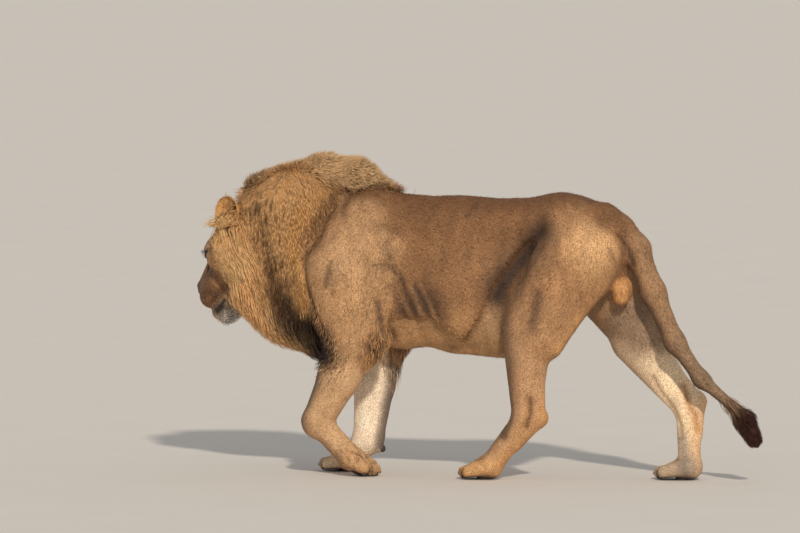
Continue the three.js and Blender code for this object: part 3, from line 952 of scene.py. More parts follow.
# %% Folds of the face
FACE_FOLDS = {
    # name: (forward, outwards and up; width, height)
    "mouth": (MOUTH_LINE, 4, -9),
    "upper lip edge": ([(362, 14, -77), (340, 36, -82), (306, 52, -90), (280, 58, -92)], 6, 3),
    "nostril": ([(372, 9, 4), (368, 17, 8), (358, 24, 8)], 4.2, -10),
    "nostril wing": ([(366, 20, 0), (358, 28, 2)], 5, 3),
    "philtrum": ([(374, 0, -6), (371, 0, -40), (366, 0, -80)], 3.2, -6),
    "cheek hollow": ([(250, 58, -20), (222, 66, -30)], 16, -5),
    "tear line": ([(250, 44, 38), (278, 36, 22)], 6, -4),
    "brow ridge": ([(196, 56, 92), (226, 52, 84), (244, 42, 70)], 10, 5),
    "brow furrow": ([(226, 8, 108), (204, 12, 116)], 7, -3),
    "under the eye": ([(236, 68, 34), (206, 82, 32)], 9, 3),
    "whisker row 1": ([(346, 24, -32), (300, 40, -30)], 3, -1.4),
    "whisker row 2": ([(350, 24, -46), (298, 46, -44)], 3, -1.4),
    "whisker row 3": ([(350, 24, -60), (300, 50, -58)], 3, -1.4),
    "chin": ([(356, 0, -124), (340, 16, -128)], 14, 4),
}


def fold_face(points, normals):
    for places, width, height in FACE_FOLDS.values():
        for side in (LEFT, RIGHT):
            line = [on_cheek(side, *place) for place in places]
            points = press(points, normals, line, width, height if places[0][1] > 4 else height / 2)
    return points


print("folds of the face:", len(FACE_FOLDS))

# %% [markdown]
# An eyelid is a thin fold of skin that slides over the ball. It could be cut in and thickened, but
# pushing the skin in and out along lines from the ball's middle keeps the surface in one piece.

# %% Eyelids
LID = 2.4 * MM
BEHIND_BALL = 3 * MM
SLIT_LENGTH, SLIT_HEIGHT = 0.78, 0.4
LID_SPREAD = 0.75


def eye_axes(side):
    """The way an eye looks, the way of its slit from the nose outwards, and the way up its lid."""
    look = unit(on_cheek(side, 0.62, 0.62, 0.3) - HEAD_AT)
    slit = on_cheek(side, -0.55, 0.62, 0.42) - HEAD_AT
    slit = unit(slit - look * (slit @ look))
    lid = np.cross(look, slit) * -side
    return look, slit, lid


def shape_lids(points):
    for side, middle_of_eye in zip((LEFT, RIGHT), EYE_PLACES):
        arm = points - middle_of_eye
        length = np.linalg.norm(arm, axis=1)
        look, slit, lid = eye_axes(side)
        x, y, z = (arm @ np.array([slit, lid, look]).T / length[:, None]).T
        half_height = SLIT_HEIGHT * (1 - (x / SLIT_LENGTH) ** 2)
        from_slit = np.abs(y) - half_height
        in_slit = (from_slit < 0) & (z > 0)
        shell = np.where(in_slit, EYE_RADIUS - BEHIND_BALL, EYE_RADIUS + LID)
        keep = np.where(in_slit, 0, np.maximum(
            ramp(from_slit, 0.1, LID_SPREAD), ramp(length / EYE_RADIUS, 1.25, 1.7)))
        keep = np.maximum(keep, ramp(-z, -0.35, 0))
        scale = (length * keep + shell * (1 - keep)) / length
        points = middle_of_eye + arm * scale[:, None]
    return points


print("left eye looks along", eye_axes(LEFT)[0].round(2))

# %% [markdown]
# Now the folds are pressed in, large ones first, so that the small ones of the face ride on them. No
# part of a paw may go below the floor, so the skin is kept above it.

# %% Shape the skin
shaped = vertex_values(skin_mesh)
shaped = fold_body(shaped, vertex_values(skin_mesh, "normal"))
shaped = shape_limbs(shaped, vertex_values(skin_mesh, "normal"))
place_vertices(skin_mesh, shaped)
shaped = fold_face(shaped, vertex_values(skin_mesh, "normal"))
shaped = shape_lids(shaped)
shaped[:, 2] = np.maximum(shaped[:, 2], 0)
place_vertices(skin_mesh, shaped)
print("skin from", shaped.min(0).round(3), "to", shaped.max(0).round(3))

# %% [markdown]
# ## Ears
# An ear is a thin cup of gristle with a round rim. A ball is flattened and its front half pushed in
# until only the wall is left. The ears are joined to the skin, so they get the same coat.

# %% Ears
EAR_RADIUS = 66 * MM
EAR_AT, EAR_TOWARDS = (24, 108, 90), (24, 205, 108)
EAR_DEPTH, EAR_WALL, EAR_FORWARD = 0.62, 0.15, 0.2
EAR_SEGMENTS, EAR_RINGS = 40, 28


def ear_axes(side):
    opening = unit(on_cheek(side, *EAR_TOWARDS) - on_cheek(side, *EAR_AT))
    up = unit(UPWARD - opening * (UPWARD @ opening))
    return np.array([np.cross(up, opening), up, opening])


def add_ear(bm, side):
    axes, place = ear_axes(side), on_cheek(side, *EAR_AT)
    ball = bmesh.ops.create_uvsphere(bm, u_segments=EAR_SEGMENTS, v_segments=EAR_RINGS, radius=1)
    for vertex in ball["verts"]:
        x, y, z = vertex.co
        out = min(math.hypot(x, y), 1)
        back = -EAR_DEPTH * math.sqrt(1 - out * out)
        wall = EAR_WALL * math.sqrt(1 - out ** 6)
        depth = back if z < 0 else back + wall
        tall = 1.04 if y > 0 else 1.0
        local = np.array([x * 0.94, y * tall, depth + EAR_FORWARD])
        vertex.co = place + (local * EAR_RADIUS) @ axes


bm = bmesh.new()
bm.from_mesh(skin_mesh)
for side in (LEFT, RIGHT):
    add_ear(bm, side)
bm.normal_update()
bm.to_mesh(skin_mesh)
bm.free()
skin_mesh.update()
shade_smooth(skin_mesh)
print("skin with ears:", len(skin_mesh.vertices), "vertices")

# %% [markdown]
# ## Which part is where
# Every vertex gets a share of each part, by how near it is to that part's flesh. Colours, the lie of
# the hair and the kinds of hair all come from these shares, so they pass softly into each other.

# %% Shares of the parts
SHARE_WIDTH = 9 * MM
points = vertex_values(skin_mesh)
normals = vertex_values(skin_mesh, "normal")
distances = np.array(list(part_distances(points).values()))
closeness = np.exp(-(distances - distances.min(0)) / SHARE_WIDTH)
closeness /= closeness.sum(0)
share = {}
for (name, _, _, _), value in zip(PARTS, closeness):
    share[name] = share.get(name, 0) + value


def spread(values, rounds):
    """Averages values between neighbouring vertices of the skin."""
    edges = np.empty(len(skin_mesh.edges) * 2, np.int32)
    skin_mesh.edges.foreach_get("vertices", edges)
    first, second = edges.reshape(-1, 2).T
    size = len(skin_mesh.vertices)
    count = np.bincount(edges, minlength=size) + 1
    for _ in range(rounds):
        values = np.stack([
            (column + np.bincount(first, column[second], size)
             + np.bincount(second, column[first], size)) / count
            for column in values.T], axis=1)
    return values


place = (points - ORIGIN) / MM
face = in_head(points)
side_of = np.sign(-face[:, 1])
ear_place = np.zeros_like(points)
for side in (LEFT, RIGHT):
    chosen = side_of == side
    ear_place[chosen] = (points[chosen] - on_cheek(side, *EAR_AT)) @ ear_axes(side).T / EAR_RADIUS
in_ear = np.linalg.norm(ear_place, axis=1) < 1.12
in_ear &= np.arange(len(points)) >= len(points) - 2 * (EAR_SEGMENTS * (EAR_RINGS - 1) + 2)
print("ear vertices:", in_ear.sum())

# %% [markdown]
# ## Markings
# The coat is tawny, darker and greyer along the back and paler on the belly and inside the legs. The
# mane goes from gold to nearly black on the chest. Many marks are also painted light and shade: dark
# creases, hollows and sides turned from the sun, and lighter ridges and edges turned towards it. Each
# marking is a colour, and a mask that says how strong it is at each point. They could be painted on
# an image, but masks worked out from the lion's own places also hold on the side that nobody painted.
# They are kept on the skin's vertices, and each hair takes the colour at its root, so skin and coat
# always agree.

# %% Colours
def rgb(red, green, blue):
    """A colour as a screen shows it, turned into amounts of light."""
    share = np.array([red, green, blue]) / 255
    return np.where(share <= 0.04045, share / 12.92, ((share + 0.055) / 1.055) ** 2.4)


PART_COLOURS = {
    "trunk": rgb(152, 110, 74),
    "neck": rgb(178, 134, 92),
    "shoulder": rgb(184, 140, 98),
    "forearm": rgb(204, 162, 120),
    "fore_toes": rgb(196, 152, 108),
    "thigh": rgb(174, 128, 88),
    "shank": rgb(192, 148, 108),
    "hind_toes": rgb(206, 158, 106),
    "scrotum": rgb(208, 152, 98),
    "tail": rgb(160, 122, 88),
    "tuft": rgb(58, 30, 22),
    "collar": rgb(242, 190, 130),
    "crest": rgb(222, 184, 138),
    "bib": rgb(72, 46, 32),
    "ruff": rgb(244, 200, 144),
    "skull": rgb(168, 124, 84),
    "jaw": rgb(160, 126, 94),
    "nose": rgb(52, 36, 30),
}
DARK, BLACK, CREAM = rgb(74, 54, 42), rgb(34, 24, 20), rgb(232, 204, 170)
GOLD, WHITE, GREY = rgb(224, 172, 106), rgb(218, 204, 184), rgb(124, 104, 84)
BROWN, BACK, ORANGE = rgb(106, 72, 46), rgb(116, 78, 48), rgb(212, 150, 84)
colour = sum(value[:, None] * PART_COLOURS[name] for name, value in share.items())
print("colours of parts:", len(PART_COLOURS), "mean:", colour.mean(0).round(3))

# %% [markdown]
# A marking is drawn with a few soft brushes: ripples of noise, a ramp along a direction, a round
# spot, or a streak along a line. Brushes on the flank leave out how far across a point lies, so one
# stroke marks both flanks.

# %% Brushes
def ripples(points, length, seed, waves=14):
    """Soft noise from -1 to 1 with a wavelength of about length millimetres."""
    source = np.random.default_rng(seed)
    ways = source.normal(size=(waves, 3))
    ways /= np.linalg.norm(ways, axis=1)[:, None]
    rates = 2 * math.pi / (length * MM) * source.uniform(0.6, 1.5, waves)
    turns = points @ (ways * rates[:, None]).T + source.uniform(0, 2 * math.pi, waves)
    return np.sin(turns).sum(1) / math.sqrt(waves)


def tint(colour, new, mask):
    return colour + (new - colour) * np.clip(mask, 0, 1)[:, None]


def painted(colour, marks):
    """The colours with a list of marks laid over them, the first one lowest."""
    for _, new, mask in marks:
        colour = tint(colour, new, mask)
    return colour


def spot(values, middle, sizes):
    away = (values - np.array(middle)) / np.array(sizes)
    return np.exp(-(away * away).sum(1))


def streak(line, width):
    """A soft line drawn on both flanks, from places along and up the body."""
    flat = place * [1, 0, 1]
    gap = gap_to_line(flat, upright(line))
    return np.exp(-(gap / width) ** 2)


def flank_spot(x, z, wide, tall):
    """A soft patch on both flanks."""
    return spot(place * [1, 0, 1], (x, 0, z), (wide, 1, tall))


print("spread of the ripples:", ripples(points, 34, 5).std().round(2))

# %% [markdown]
# Most marks need the same few masks: how far along, across and up a point is, which way its skin
# faces, which limbs it belongs to, and how far it is above the flank's loose edge.

# %% Masks of the body
trunk, neck, shoulder, thigh = (share[name] for name in ("trunk", "neck", "shoulder", "thigh"))
forearm, fore_toes, tail = (share[name] for name in ("forearm", "fore_toes", "tail"))
shank, hind_toes, crest = (share[name] for name in ("shank", "hind_toes", "crest"))
along, across, height = place.T
on_left, on_right = across < 0, across > 0
sideways = np.abs(normals[:, 1])
upwards, downwards = np.clip(normals[:, 2], 0, 1), np.clip(-normals[:, 2], 0, 1)
forwards = np.clip(-normals[:, 0], 0, 1)
body = trunk + thigh + shoulder + neck
legs = forearm + shank + fore_toes + hind_toes
leg_and_thigh = legs + thigh
inner_side = np.clip(-np.sign(across) * normals[:, 1], 0, 1)
flank, limb = body * sideways, legs * sideways
mane = share["collar"] + crest + share["bib"]
bare = share["nose"].copy()
above = above_ledge(points)
loose_skin = trunk * sideways * ramp(above, 0, 20)
under_flank = trunk * ramp(sideways, 0.1, 0.4) * ramp(-above, 0, 14)
print("above the flank's edge:", int((above > 0).sum()), "of", len(above), "vertices")

# %% [markdown]
# The back is a dark saddle, the belly is pale under the flank's edge, and the shoulder is light. The
# rump, the rear edge of the thigh and the point of the flank's edge are painted light where the sun
# falls on them. Folds, hollows, the armpit, the ribs behind the elbow and the front of the thigh are
# painted shade. Later marks lie over earlier ones.

# %% Marks of the trunk
MARKS = [
    # what it is, its colour, and where it is
    ("saddle", BACK, 0.85 * body * ramp(upwards, 0.3, 0.95) * (1 - 0.5 * ramp(along, 420, 560))),
    ("upper flank", BACK, 0.45 * trunk * ramp(height, 760, 1000)),
    ("belly", rgb(190, 146, 102),
     0.9 * trunk * ramp(-height, -660, -600) * ramp(-above, -4, 10)),
    ("before the knee", rgb(176, 140, 104),
     0.7 * trunk * ramp(-above, -2, 8) * flank_spot(96, 590, 60, 90)),
    ("shade under the edge", rgb(118, 84, 54), 0.4 * under_flank * ramp(above, -24, -2)),
    # Painted shade on the low ribs, in the loose skin above the flank's edge.
    ("above the edge", rgb(92, 66, 46),
     0.75 * loose_skin * ramp(-above, -150, -50) * ramp(-along, 20, 110)),
    # Painted light on the point of the flank's edge.
    ("point of the edge", rgb(190, 144, 98),
     0.8 * trunk * sideways * flank_spot(-6, 590, 50, 64) * ramp(above, -2, 6)),
    ("inner legs", CREAM, 0.8 * legs * inner_side),
    ("far inner legs", CREAM, 0.6 * (legs + 0.8 * thigh) * inner_side * ramp(across, 0, 40)),
    # Painted shade on the inner thighs, between the legs.
    ("inner thighs", rgb(150, 122, 96), 0.4 * thigh * inner_side),
    ("shoulder", rgb(206, 162, 118), 0.75 * shoulder * flank_spot(-430, 850, 130, 170)),
    # Painted light on the rump, where the sun falls.
    ("rump", rgb(226, 178, 126), 0.85 * thigh * flank_spot(530, 900, 110, 120)),
    ("above the knee", rgb(190, 146, 104), 0.5 * thigh * flank_spot(330, 620, 90, 90)),
    # Painted light along the rear edge of the thigh, which faces the sun.
    ("rear edge of the thigh", rgb(232, 180, 118),
     0.65 * thigh * sideways * streak([(566, 694), (474, 614), (401, 508), (337, 437)], 26)),
    # Painted shade in the hollow before the thigh and round it, behind the elbow, down the front and the
    # middle of the thigh, and down the shin.
    ("hollow", rgb(42, 34, 32), flank * streak(HOLLOW, 44)),
    ("behind the elbow", rgb(84, 62, 48), 0.6 * loose_skin * flank_spot(-160, 680, 80, 70)),
    ("round the hollow", DARK, 0.45 * flank * streak(HOLLOW[:3], 74)),
    ("front edge of the thigh", DARK,
     0.65 * (body + legs) * sideways * streak([(160, 688), (175, 575), (184, 453), (175, 340)], 30)),
    ("middle of the thigh", DARK, 0.7 * flank * streak([(317, 717), (308, 647), (290, 577)], 24)),
    ("shin", rgb(70, 60, 56),
     0.85 * shank * on_left * streak([(178, 330), (176, 250), (150, 170)], 13)),
    # Painted shade in the folds and creases of the neck, shoulder and back, one of them on the shoulder
    # without a fold of the skin under it, and in the armpit.
    ("mane fold", DARK, 0.85 * flank * streak(MANE_FOLD, 11)),
    ("shoulder fold", DARK, 0.65 * flank * streak(SHOULDER_FOLD, 11)),
    ("neck fold", DARK, 0.5 * flank * streak(NECK_FOLD, 12)),
    ("behind the shoulder", DARK, 0.35 * flank * streak([(-300, 900), (-262, 800), (-246, 720)], 16)),
    ("painted shade of a shoulder crease", DARK, 0.6 * flank * streak([(-338, 812), (-316, 806), (-297, 788)], 8)),
    ("crease of the back", DARK, 0.5 * flank * streak([(33, 1040), (6, 1000)], 12)),
    ("armpit", DARK, 0.8 * flank * streak(ARMPIT, 14)),
]
print("marks of the trunk:", len(MARKS))

# %% [markdown]
# The legs are cream on their inner sides, and the far legs' cream is painted brighter, as if lit.
# Painted shade lies down the fronts of the legs, most on the left ones, in the grooves of the hocks,
# between the toes and on the far hind foot, and painted orange light on the backs of the heels. Each
# mark names the limb that it belongs to, so that it can't spill over onto another one that stands
# behind it.

# %% Marks of the legs and the tail
MARKS += [
    ("elbow", DARK, 0.9 * flank_spot(-336, 500, 28, 46) * (forearm + shoulder)),
    ("under the elbow", BROWN, 0.7 * flank_spot(-334, 436, 40, 34) * forearm),
    ("gold under the elbow", GOLD, 0.6 * forearm * flank_spot(-330, 398, 34, 26)),
    # Painted shade in the grooves of the hocks, and on the sides of the legs that face forwards, away from
    # the sun.
    ("grooves of the hock", DARK, 0.7 * limb * (streak(HOCK_FRONT, 10) + 1.2 * streak(HOCK_BACK, 11))),
    ("far hock", DARK, 0.5 * limb * streak([(775, 350), (760, 300)], 9)),
    ("front of the left legs", rgb(108, 84, 64), 0.65 * leg_and_thigh * forwards * on_left),
    ("front of the right legs", rgb(120, 92, 68), 0.35 * leg_and_thigh * forwards * ~on_left),
    ("end of the tail", GREY, 0.6 * tail * ramp(-height, -760, -360)),
    ("shade of the tail", DARK,
     0.6 * tail * ramp(-normals[:, 0] - 0.6 * normals[:, 2], 0.1, 0.8)),
    # Cream of the far shank, painted brighter as if lit.
    ("far shank", rgb(255, 224, 184), 0.95 * shank * ramp(along, 620, 740)),
    ("far hind paw", rgb(176, 150, 124), 0.7 * hind_toes * on_right),
    # Painted shade in the grooves of the far hock and on the back of the far foot.
    ("back of the far hock", rgb(170, 112, 64),
     0.75 * shank * on_right * streak(FAR_HOCK_BACK, 11)),
    ("front of the far hock", rgb(140, 100, 70),
     0.6 * shank * on_right * streak(FAR_HOCK_FRONT, 8)),
    ("back of the far foot", rgb(140, 126, 116),
     0.75 * legs * on_right * streak([(797, 153), (814, 95), (818, 42)], 32)),
    # Painted shade on the far inner thigh.
    ("far inner thigh", rgb(118, 96, 80), 0.6 * thigh * inner_side * on_right),
    # Cream of the far forearm, painted brighter as if lit.
    ("far forearm", rgb(255, 232, 204), 0.95 * forearm * on_right * inner_side),
    ("near forearm", rgb(228, 184, 138), 0.75 * forearm * on_left * flank_spot(-500, 440, 90, 80)),
    # Painted shade on the front of the near forearm and the rear of the far one.
    ("front of the forearm", rgb(92, 74, 62),
     0.75 * forearm * ramp(-normals[:, 0], 0.35, 0.9) * on_left * ramp(height, 130, 280)),
    ("rear of the far forearm", rgb(96, 84, 78),
     0.85 * forearm * ramp(normals[:, 0], 0.4, 0.9) * on_right),
    ("dust on the left forepaw", BROWN,
     0.45 * legs * on_left * ramp(-height, -150, -90) * ramp(-along, 300, 340)
     * ramp(ripples(points, 30, 12), 0.0, 1.0)),
    # Painted shade under the root of the tail.
    ("under the tail", BROWN,
     0.5 * (trunk + thigh + tail) * spot(place, (600, 0, 860), (60, 50, 60))),
]
# Painted shade in the rib and seat folds, and painted light on the rib ridges.
MARKS += [("rib fold", DARK, 0.7 * flank * streak(line, 11)) for line in RIB_FOLDS]
MARKS += [("rib ridge", rgb(184, 140, 98), 0.4 * flank * streak(line, 9)) for line in RIB_RIDGES]
MARKS += [
    ("seat fold", DARK, 0.8 * (body + tail) * sideways * streak(line, 8)) for line in SEAT_FOLDS
]
CLEFT_WIDTH, HEEL_WIDTH = 9 * MM, 70 * MM
# Painted shade in the clefts between the toes.
for group, width in ((FORELEGS, FORE_WIDTH), (HIND_LEGS, HIND_WIDTH)):
    for leg in group.values():
        for line in toe_clefts(leg, width):
            cleft = np.exp(-(gap_to_line(points, line) / CLEFT_WIDTH) ** 2)
            MARKS.append(("toe cleft", DARK, 0.7 * legs * cleft))
# Painted orange light on the backs of the heels, which face the sun.
for leg in HIND_LEGS.values():
    heel_line = np.exp(-(gap_to_line(points, [leg["heel"], leg["knuckle"]]) / HEEL_WIDTH) ** 2)
    facing_back = np.clip(normals[:, 0] + 0.2, 0, 1)
    MARKS.append(("heel", ORANGE, 0.6 * shank * facing_back * heel_line))
colour = painted(colour, MARKS)
print("marks of the body:", len(MARKS))

# %% [markdown]
# ## The mane's colours
# They run in long patches: pale gold locks under the ear, a greyer gold neck with dark flecks, a gold
# ridge near its rear edge that is painted brighter as if the sun lit it, and a chest that is nearly
# black. The crest's sides have painted shade. The patches follow lines down the neck, and a point's
# distance from them, or past them, tells which patch it is in. The mane also runs over the shoulder up
# to its fold, and down the front of the upper arm.

# %% Where the mane's patches are
MANE_FRONT = [
    (-985, 800), (-990, 700), (-940, 590), (-866, 554), (-800, 524), (-720, 496), (-640, 460),
]
RIDGE = [
    (-600, 1087), (-637, 1017), (-686, 917), (-649, 836), (-612, 767), (-603, 709), (-631, 632),
]
CHEST_DARK = [(-754, 730), (-738, 680), (-700, 640)]
LOW_CHEST = [(-704, 630), (-654, 566), (-600, 490)]
BREAST_DARK = [(-634, 606), (-590, 540), (-540, 480)]
ARM_DARK = [(-625, 600), (-588, 556), (-552, 508), (-522, 462)]
NECK_SHADE = [(-833, 1042), (-802, 926), (-784, 833)]
NECK_FLECKS = [(-820, 1040), (-780, 930), (-770, 840)]


def past(line):
    """How far along the body each point is past a line that runs down it."""
    return along - np.interp(height, *np.array(line)[::-1, ::-1].T)


front_gap = gap_to_line(place * [1, 0, 1], upright(MANE_FRONT))
before_fold = ramp(-past(MANE_FOLD), 0, 16)
over_shoulder = (shoulder + neck + trunk) * before_fold * ramp(height, 560, 640)
over_arm = (shoulder + forearm + trunk) * streak(ARM_DARK, 46)
mane = np.clip(mane + over_shoulder + over_arm, 0, 1)
collar = np.clip(share["collar"] + over_shoulder, 0, 1)
low_mane = share["collar"] + share["bib"]
flecks = ramp(ripples(points * [1, 1, 0.5], 28, 3), 0.0, 1.2)
before_chest = ramp(-along - 0.26 * (height - 530), 740, 800)
print("mane vertices:", int((mane > 0.5).sum()))

# %% [markdown]
# The dark of the chest comes after the gold of the neck, and the ridge and the front edge after that,
# because their bright locks hang over it.

# %% Marks of the mane
MANE_MARKS = [
    ("over the shoulder", rgb(214, 166, 112), over_shoulder),
    ("flecks", BROWN, 0.5 * mane * flecks),
    ("behind the ridge", rgb(160, 118, 80),
     0.8 * collar * ramp(past(RIDGE), 6, 34) * ramp(height, 640, 720)),
    ("shade behind the ear", BROWN, 0.5 * collar * streak(NECK_SHADE, 46)),
    ("flecks behind the ear", rgb(84, 60, 38), 0.9 * collar * flecks * streak(NECK_FLECKS, 84)),
    ("middle of the neck", BROWN, 0.5 * mane * streak([(-742, 800), (-720, 740), (-700, 680)], 46)),
    # The ridge's gold is partly painted light, as if the sun lit its relief.
    ("ridge", rgb(255, 196, 130), 0.9 * collar * streak(RIDGE, 26)),
    ("front of the neck", rgb(255, 198, 134),
     0.85 * low_mane * ramp(-front_gap, -150, -60) * before_chest),
    ("chest", BLACK, 0.95 * mane * (0.75 + 0.25 * flecks) * streak(CHEST_DARK, 46)),
    ("low chest", BLACK, 0.97 * mane * (0.85 + 0.15 * flecks) * streak(LOW_CHEST, 96)),
    ("breast", BLACK, 0.85 * mane * streak(BREAST_DARK, 44)),
    # Painted light on the crown of the ridge.
    ("crown of the ridge", rgb(255, 196, 124), 0.95 * collar * streak(RIDGE[1:-1], 17)),
    ("before the chest", BROWN, 0.6 * mane * streak([(-780, 800), (-764, 720), (-740, 640)], 36)),
    ("over the arm", BLACK, 0.85 * over_arm),
    ("end of the ridge", rgb(244, 186, 116), 0.6 * collar * streak([(-640, 720), (-634, 660)], 20)),
    ("front edge", rgb(255, 202, 140), 0.75 * low_mane * ramp(-front_gap, -60, -20) * before_chest),
    # Painted shade on the crest's sides and underside.
    ("edge of the crest", DARK,
     0.85 * crest * ramp(-normals[:, 2], -0.14, 0.16) * ramp(along, -700, -560)),
    ("front of the crest", rgb(132, 102, 74), 0.6 * crest * ramp(-along, 600, 740)),
    ("nape", DARK, 0.5 * (neck + shoulder + trunk) * ramp(upwards, 0, 0.3)
     * np.exp(-(across / 74) ** 2) * ramp(-along, 300, 420)),
]
colour = painted(colour, MANE_MARKS)
print("marks of the mane:", len(MANE_MARKS))

# %% [markdown]
# ## The face's colours
# The face is tan above, with painted shade along the muzzle's sides, beside the nose and on the
# cheeks below the eyes, rows of whisker spots, a white chin, small pale patches just under the eyes,
# and black lids. Its marks are placed on the head's own axes with left and right folded together, so
# one mark makes a pair.

# %% Where the cheek's locks begin
cheek = face.copy()
cheek[:, 1] = np.abs(cheek[:, 1])
skull = share["skull"] + share["jaw"] + share["nose"] + share["ruff"]


def face_line(line, width):
    gap = gap_to_line(cheek, [np.array(place) for place in line])
    return skull * np.exp(-(gap / width) ** 2)


BEARD_FRONT = [(-205, 252), (-114, 236), (-30, 196), (24, 166), (66, 182), (100, 204), (140, 214)]
behind_front = np.interp(face[:, 2], *np.array(BEARD_FRONT).T) - face[:, 0]
behind_front -= 0.7 * np.clip(64 - np.abs(face[:, 1]), 0, 64) * ramp(face[:, 2], 40, 90)
forehead = 24 * ramp(face[:, 2], 60, 90)
beard = skull * ramp(behind_front, 0, 24) * ~in_ear * ramp(
    np.abs(face[:, 1]), 30 - forehead, 56 - forehead)
print("vertices under the cheek's locks:", int((beard > 0.5).sum()))

# %% [markdown]
# Each whisker grows out of a small black spot, and the spots stand in four rows that slope back along
# the lip.

# %% Marks of the face
SPOT_ROWS, SPOTS_IN_ROW, SPOT_RADIUS = (-32, -45, -58, -70), 6, 4.6
SPOT_FIRST, SPOT_STEP_BACK, SPOT_STEP_OUT, ROW_STEP_BACK = (346, 30), 11, 3.5, 4
spots = np.zeros(len(points))
for row, up in enumerate(SPOT_ROWS):
    for step in range(SPOTS_IN_ROW):
        forward = SPOT_FIRST[0] - step * SPOT_STEP_BACK - row * ROW_STEP_BACK
        centre = np.array([forward, SPOT_FIRST[1] + step * SPOT_STEP_OUT, up])
        spots += np.exp(-(np.linalg.norm((cheek - centre) * [1, 0.4, 1], axis=1) / SPOT_RADIUS) ** 2)
MOUTH_CORNER = [(322, 50, -110), (288, 54, -116)]
FACE_MARKS = [
    ("bridge of the nose", rgb(176, 132, 90), 0.6 * spot(cheek, (290, 0, 46), (80, 24, 40)) * skull),
    # Painted shade on the muzzle's side and on the cheek below the eye.
    ("muzzle", rgb(74, 44, 26), spot(cheek, (304, 56, -50), (76, 42, 54)) * skull),
    ("below the eye", rgb(100, 72, 52), 0.85 * spot(cheek, (240, 62, 0), (60, 36, 44)) * skull),
    ("chin", rgb(240, 232, 220), 0.95 * spot(cheek, (322, 10, -146), (62, 52, 30)) * skull),
    ("upper lip", WHITE, 0.5 * spot(cheek, (356, 18, -74), (20, 20, 18)) * skull),
    ("under the eye", WHITE, 0.5 * spot(cheek, (226, 70, 30), (22, 22, 10)) * skull),
    ("brow", WHITE, 0.4 * spot(cheek, (200, 74, 84), (18, 14, 8)) * skull),
    ("cheek", rgb(248, 196, 136), 0.85 * spot(cheek, (150, 84, -40), (56, 40, 46)) * skull),
    # Painted shade beside the nose.
    ("side of the nose", rgb(84, 64, 54), 0.7 * spot(cheek, (326, 26, 14), (60, 24, 26)) * skull),
    ("light on the muzzle", rgb(150, 104, 62), 0.3 * spot(cheek, (312, 58, -62), (16, 30, 14)) * skull),
    ("cheek locks", rgb(255, 204, 142), 0.9 * beard),
    ("below the ear", BROWN, 0.7 * spot(cheek, (66, 104, 32), (24, 30, 26)) * (skull + share["collar"])),
    ("whisker spots", BLACK, 0.85 * np.clip(spots, 0, 1) * skull),
    ("tear line", BLACK, 0.9 * face_line([(262, 40, 44), (276, 38, 26)], 7)),
    ("lips", BLACK, 0.95 * face_line(MOUTH_LINE, 6)),
    ("corner of the mouth", BLACK, face_line(MOUTH_CORNER, 17)),
    ("nostril", BLACK, 0.7 * face_line([(356, 26, 0), (346, 30, 12)], 6)),
]
colour = painted(colour, FACE_MARKS)
print("marks of the face:", len(FACE_MARKS))

# %% [markdown]
# Lips and lids are bare black leather. The lids are black where they touch the ball, in an almond a
# little larger than the opening.

# %% Lips and lids
LID_LENGTH, LID_HEIGHT, LID_REACH = 1.05, 0.62, 1.7
lip = np.maximum(face_line(MOUTH_LINE, 6), face_line(MOUTH_CORNER, 11))
lids = np.zeros(len(points))
for side, middle_of_eye in zip((LEFT, RIGHT), EYE_PLACES):
    look, slit, lid = eye_axes(side)
    arm = (points - middle_of_eye) / EYE_RADIUS
    x, y, z = (arm @ np.array([slit, lid, look]).T).T
    rim = (x / LID_LENGTH) ** 2 + (y / LID_HEIGHT) ** 2
    in_front = (z > 0.1) * (np.linalg.norm(arm, axis=1) < LID_REACH)
    lids = np.maximum(lids, ramp(-rim, -1.5, -0.9) * in_front)
colour = tint(colour, BLACK, lids)
bare = np.maximum.reduce([bare, lip, lids])
print("bare vertices:", int((bare > 0.5).sum()))

# %% [markdown]
# The ears are black behind, with a golden rim and painted shade in the cup and its fold inside. Soles
# are dark leather. Last, a soft mottle over everything keeps large patches from looking flat.

# %% Ears, soles and mottle
ear_out = np.linalg.norm(ear_place[:, :2], axis=1)
ear_floor = EAR_FORWARD - EAR_DEPTH * np.sqrt(np.clip(1 - ear_out ** 2, 0, 1))
inner_ear = in_ear & (ear_place[:, 2] > ear_floor + EAR_WALL * 0.5)
ear_rear = inner_ear * ramp(-ear_place[:, 0] * side_of - ear_place[:, 1] * 0.4, -0.15, 0.4)
EAR_MARKS = [
    ("ear", rgb(212, 158, 98), in_ear),
    # Painted shade in the ear's cup and its fold.
    ("inside of the ear", rgb(140, 96, 58), 0.7 * inner_ear * ramp(-ear_out, -0.85, -0.6)),
    ("fold of the ear", rgb(40, 26, 20), 0.95 * ear_rear * ramp(-ear_out, -0.86, -0.68)),
    ("back of the ear", BLACK, 0.85 * in_ear * ~inner_ear * ramp(-ear_out, -0.95, -0.6)
     * ramp(-ear_place[:, 2], -0.1, 0.25)),
]
soles = legs * ramp(downwards, 0.55, 0.9) * ramp(-height, -26, -8)
colour = painted(colour, EAR_MARKS + [("soles", rgb(66, 50, 44), soles)])
bare = np.maximum(bare, soles)
mottle = 1 + 0.05 * ripples(points, 34, 5) + 0.05 * ripples(points, 130, 6)
mottle += 0.09 * body * ripples(points * [1, 0.4, 0.22], 46, 7)
mottle += 0.16 * skull * ripples(points, 15, 10)
DARKEST = 0.004
colour = np.clip(colour * mottle[:, None], DARKEST, 1)
print("mean colour:", colour.mean(0).round(3))

# %% [markdown]
# ## Materials
# Materials are built from nodes. In the editor they would be dragged and linked by hand; here a
# small class adds a node, sets its sockets and links them in one line. Colours come from the
# vertices, and noise comes from Object coordinates, so it stays where it is on the lion.

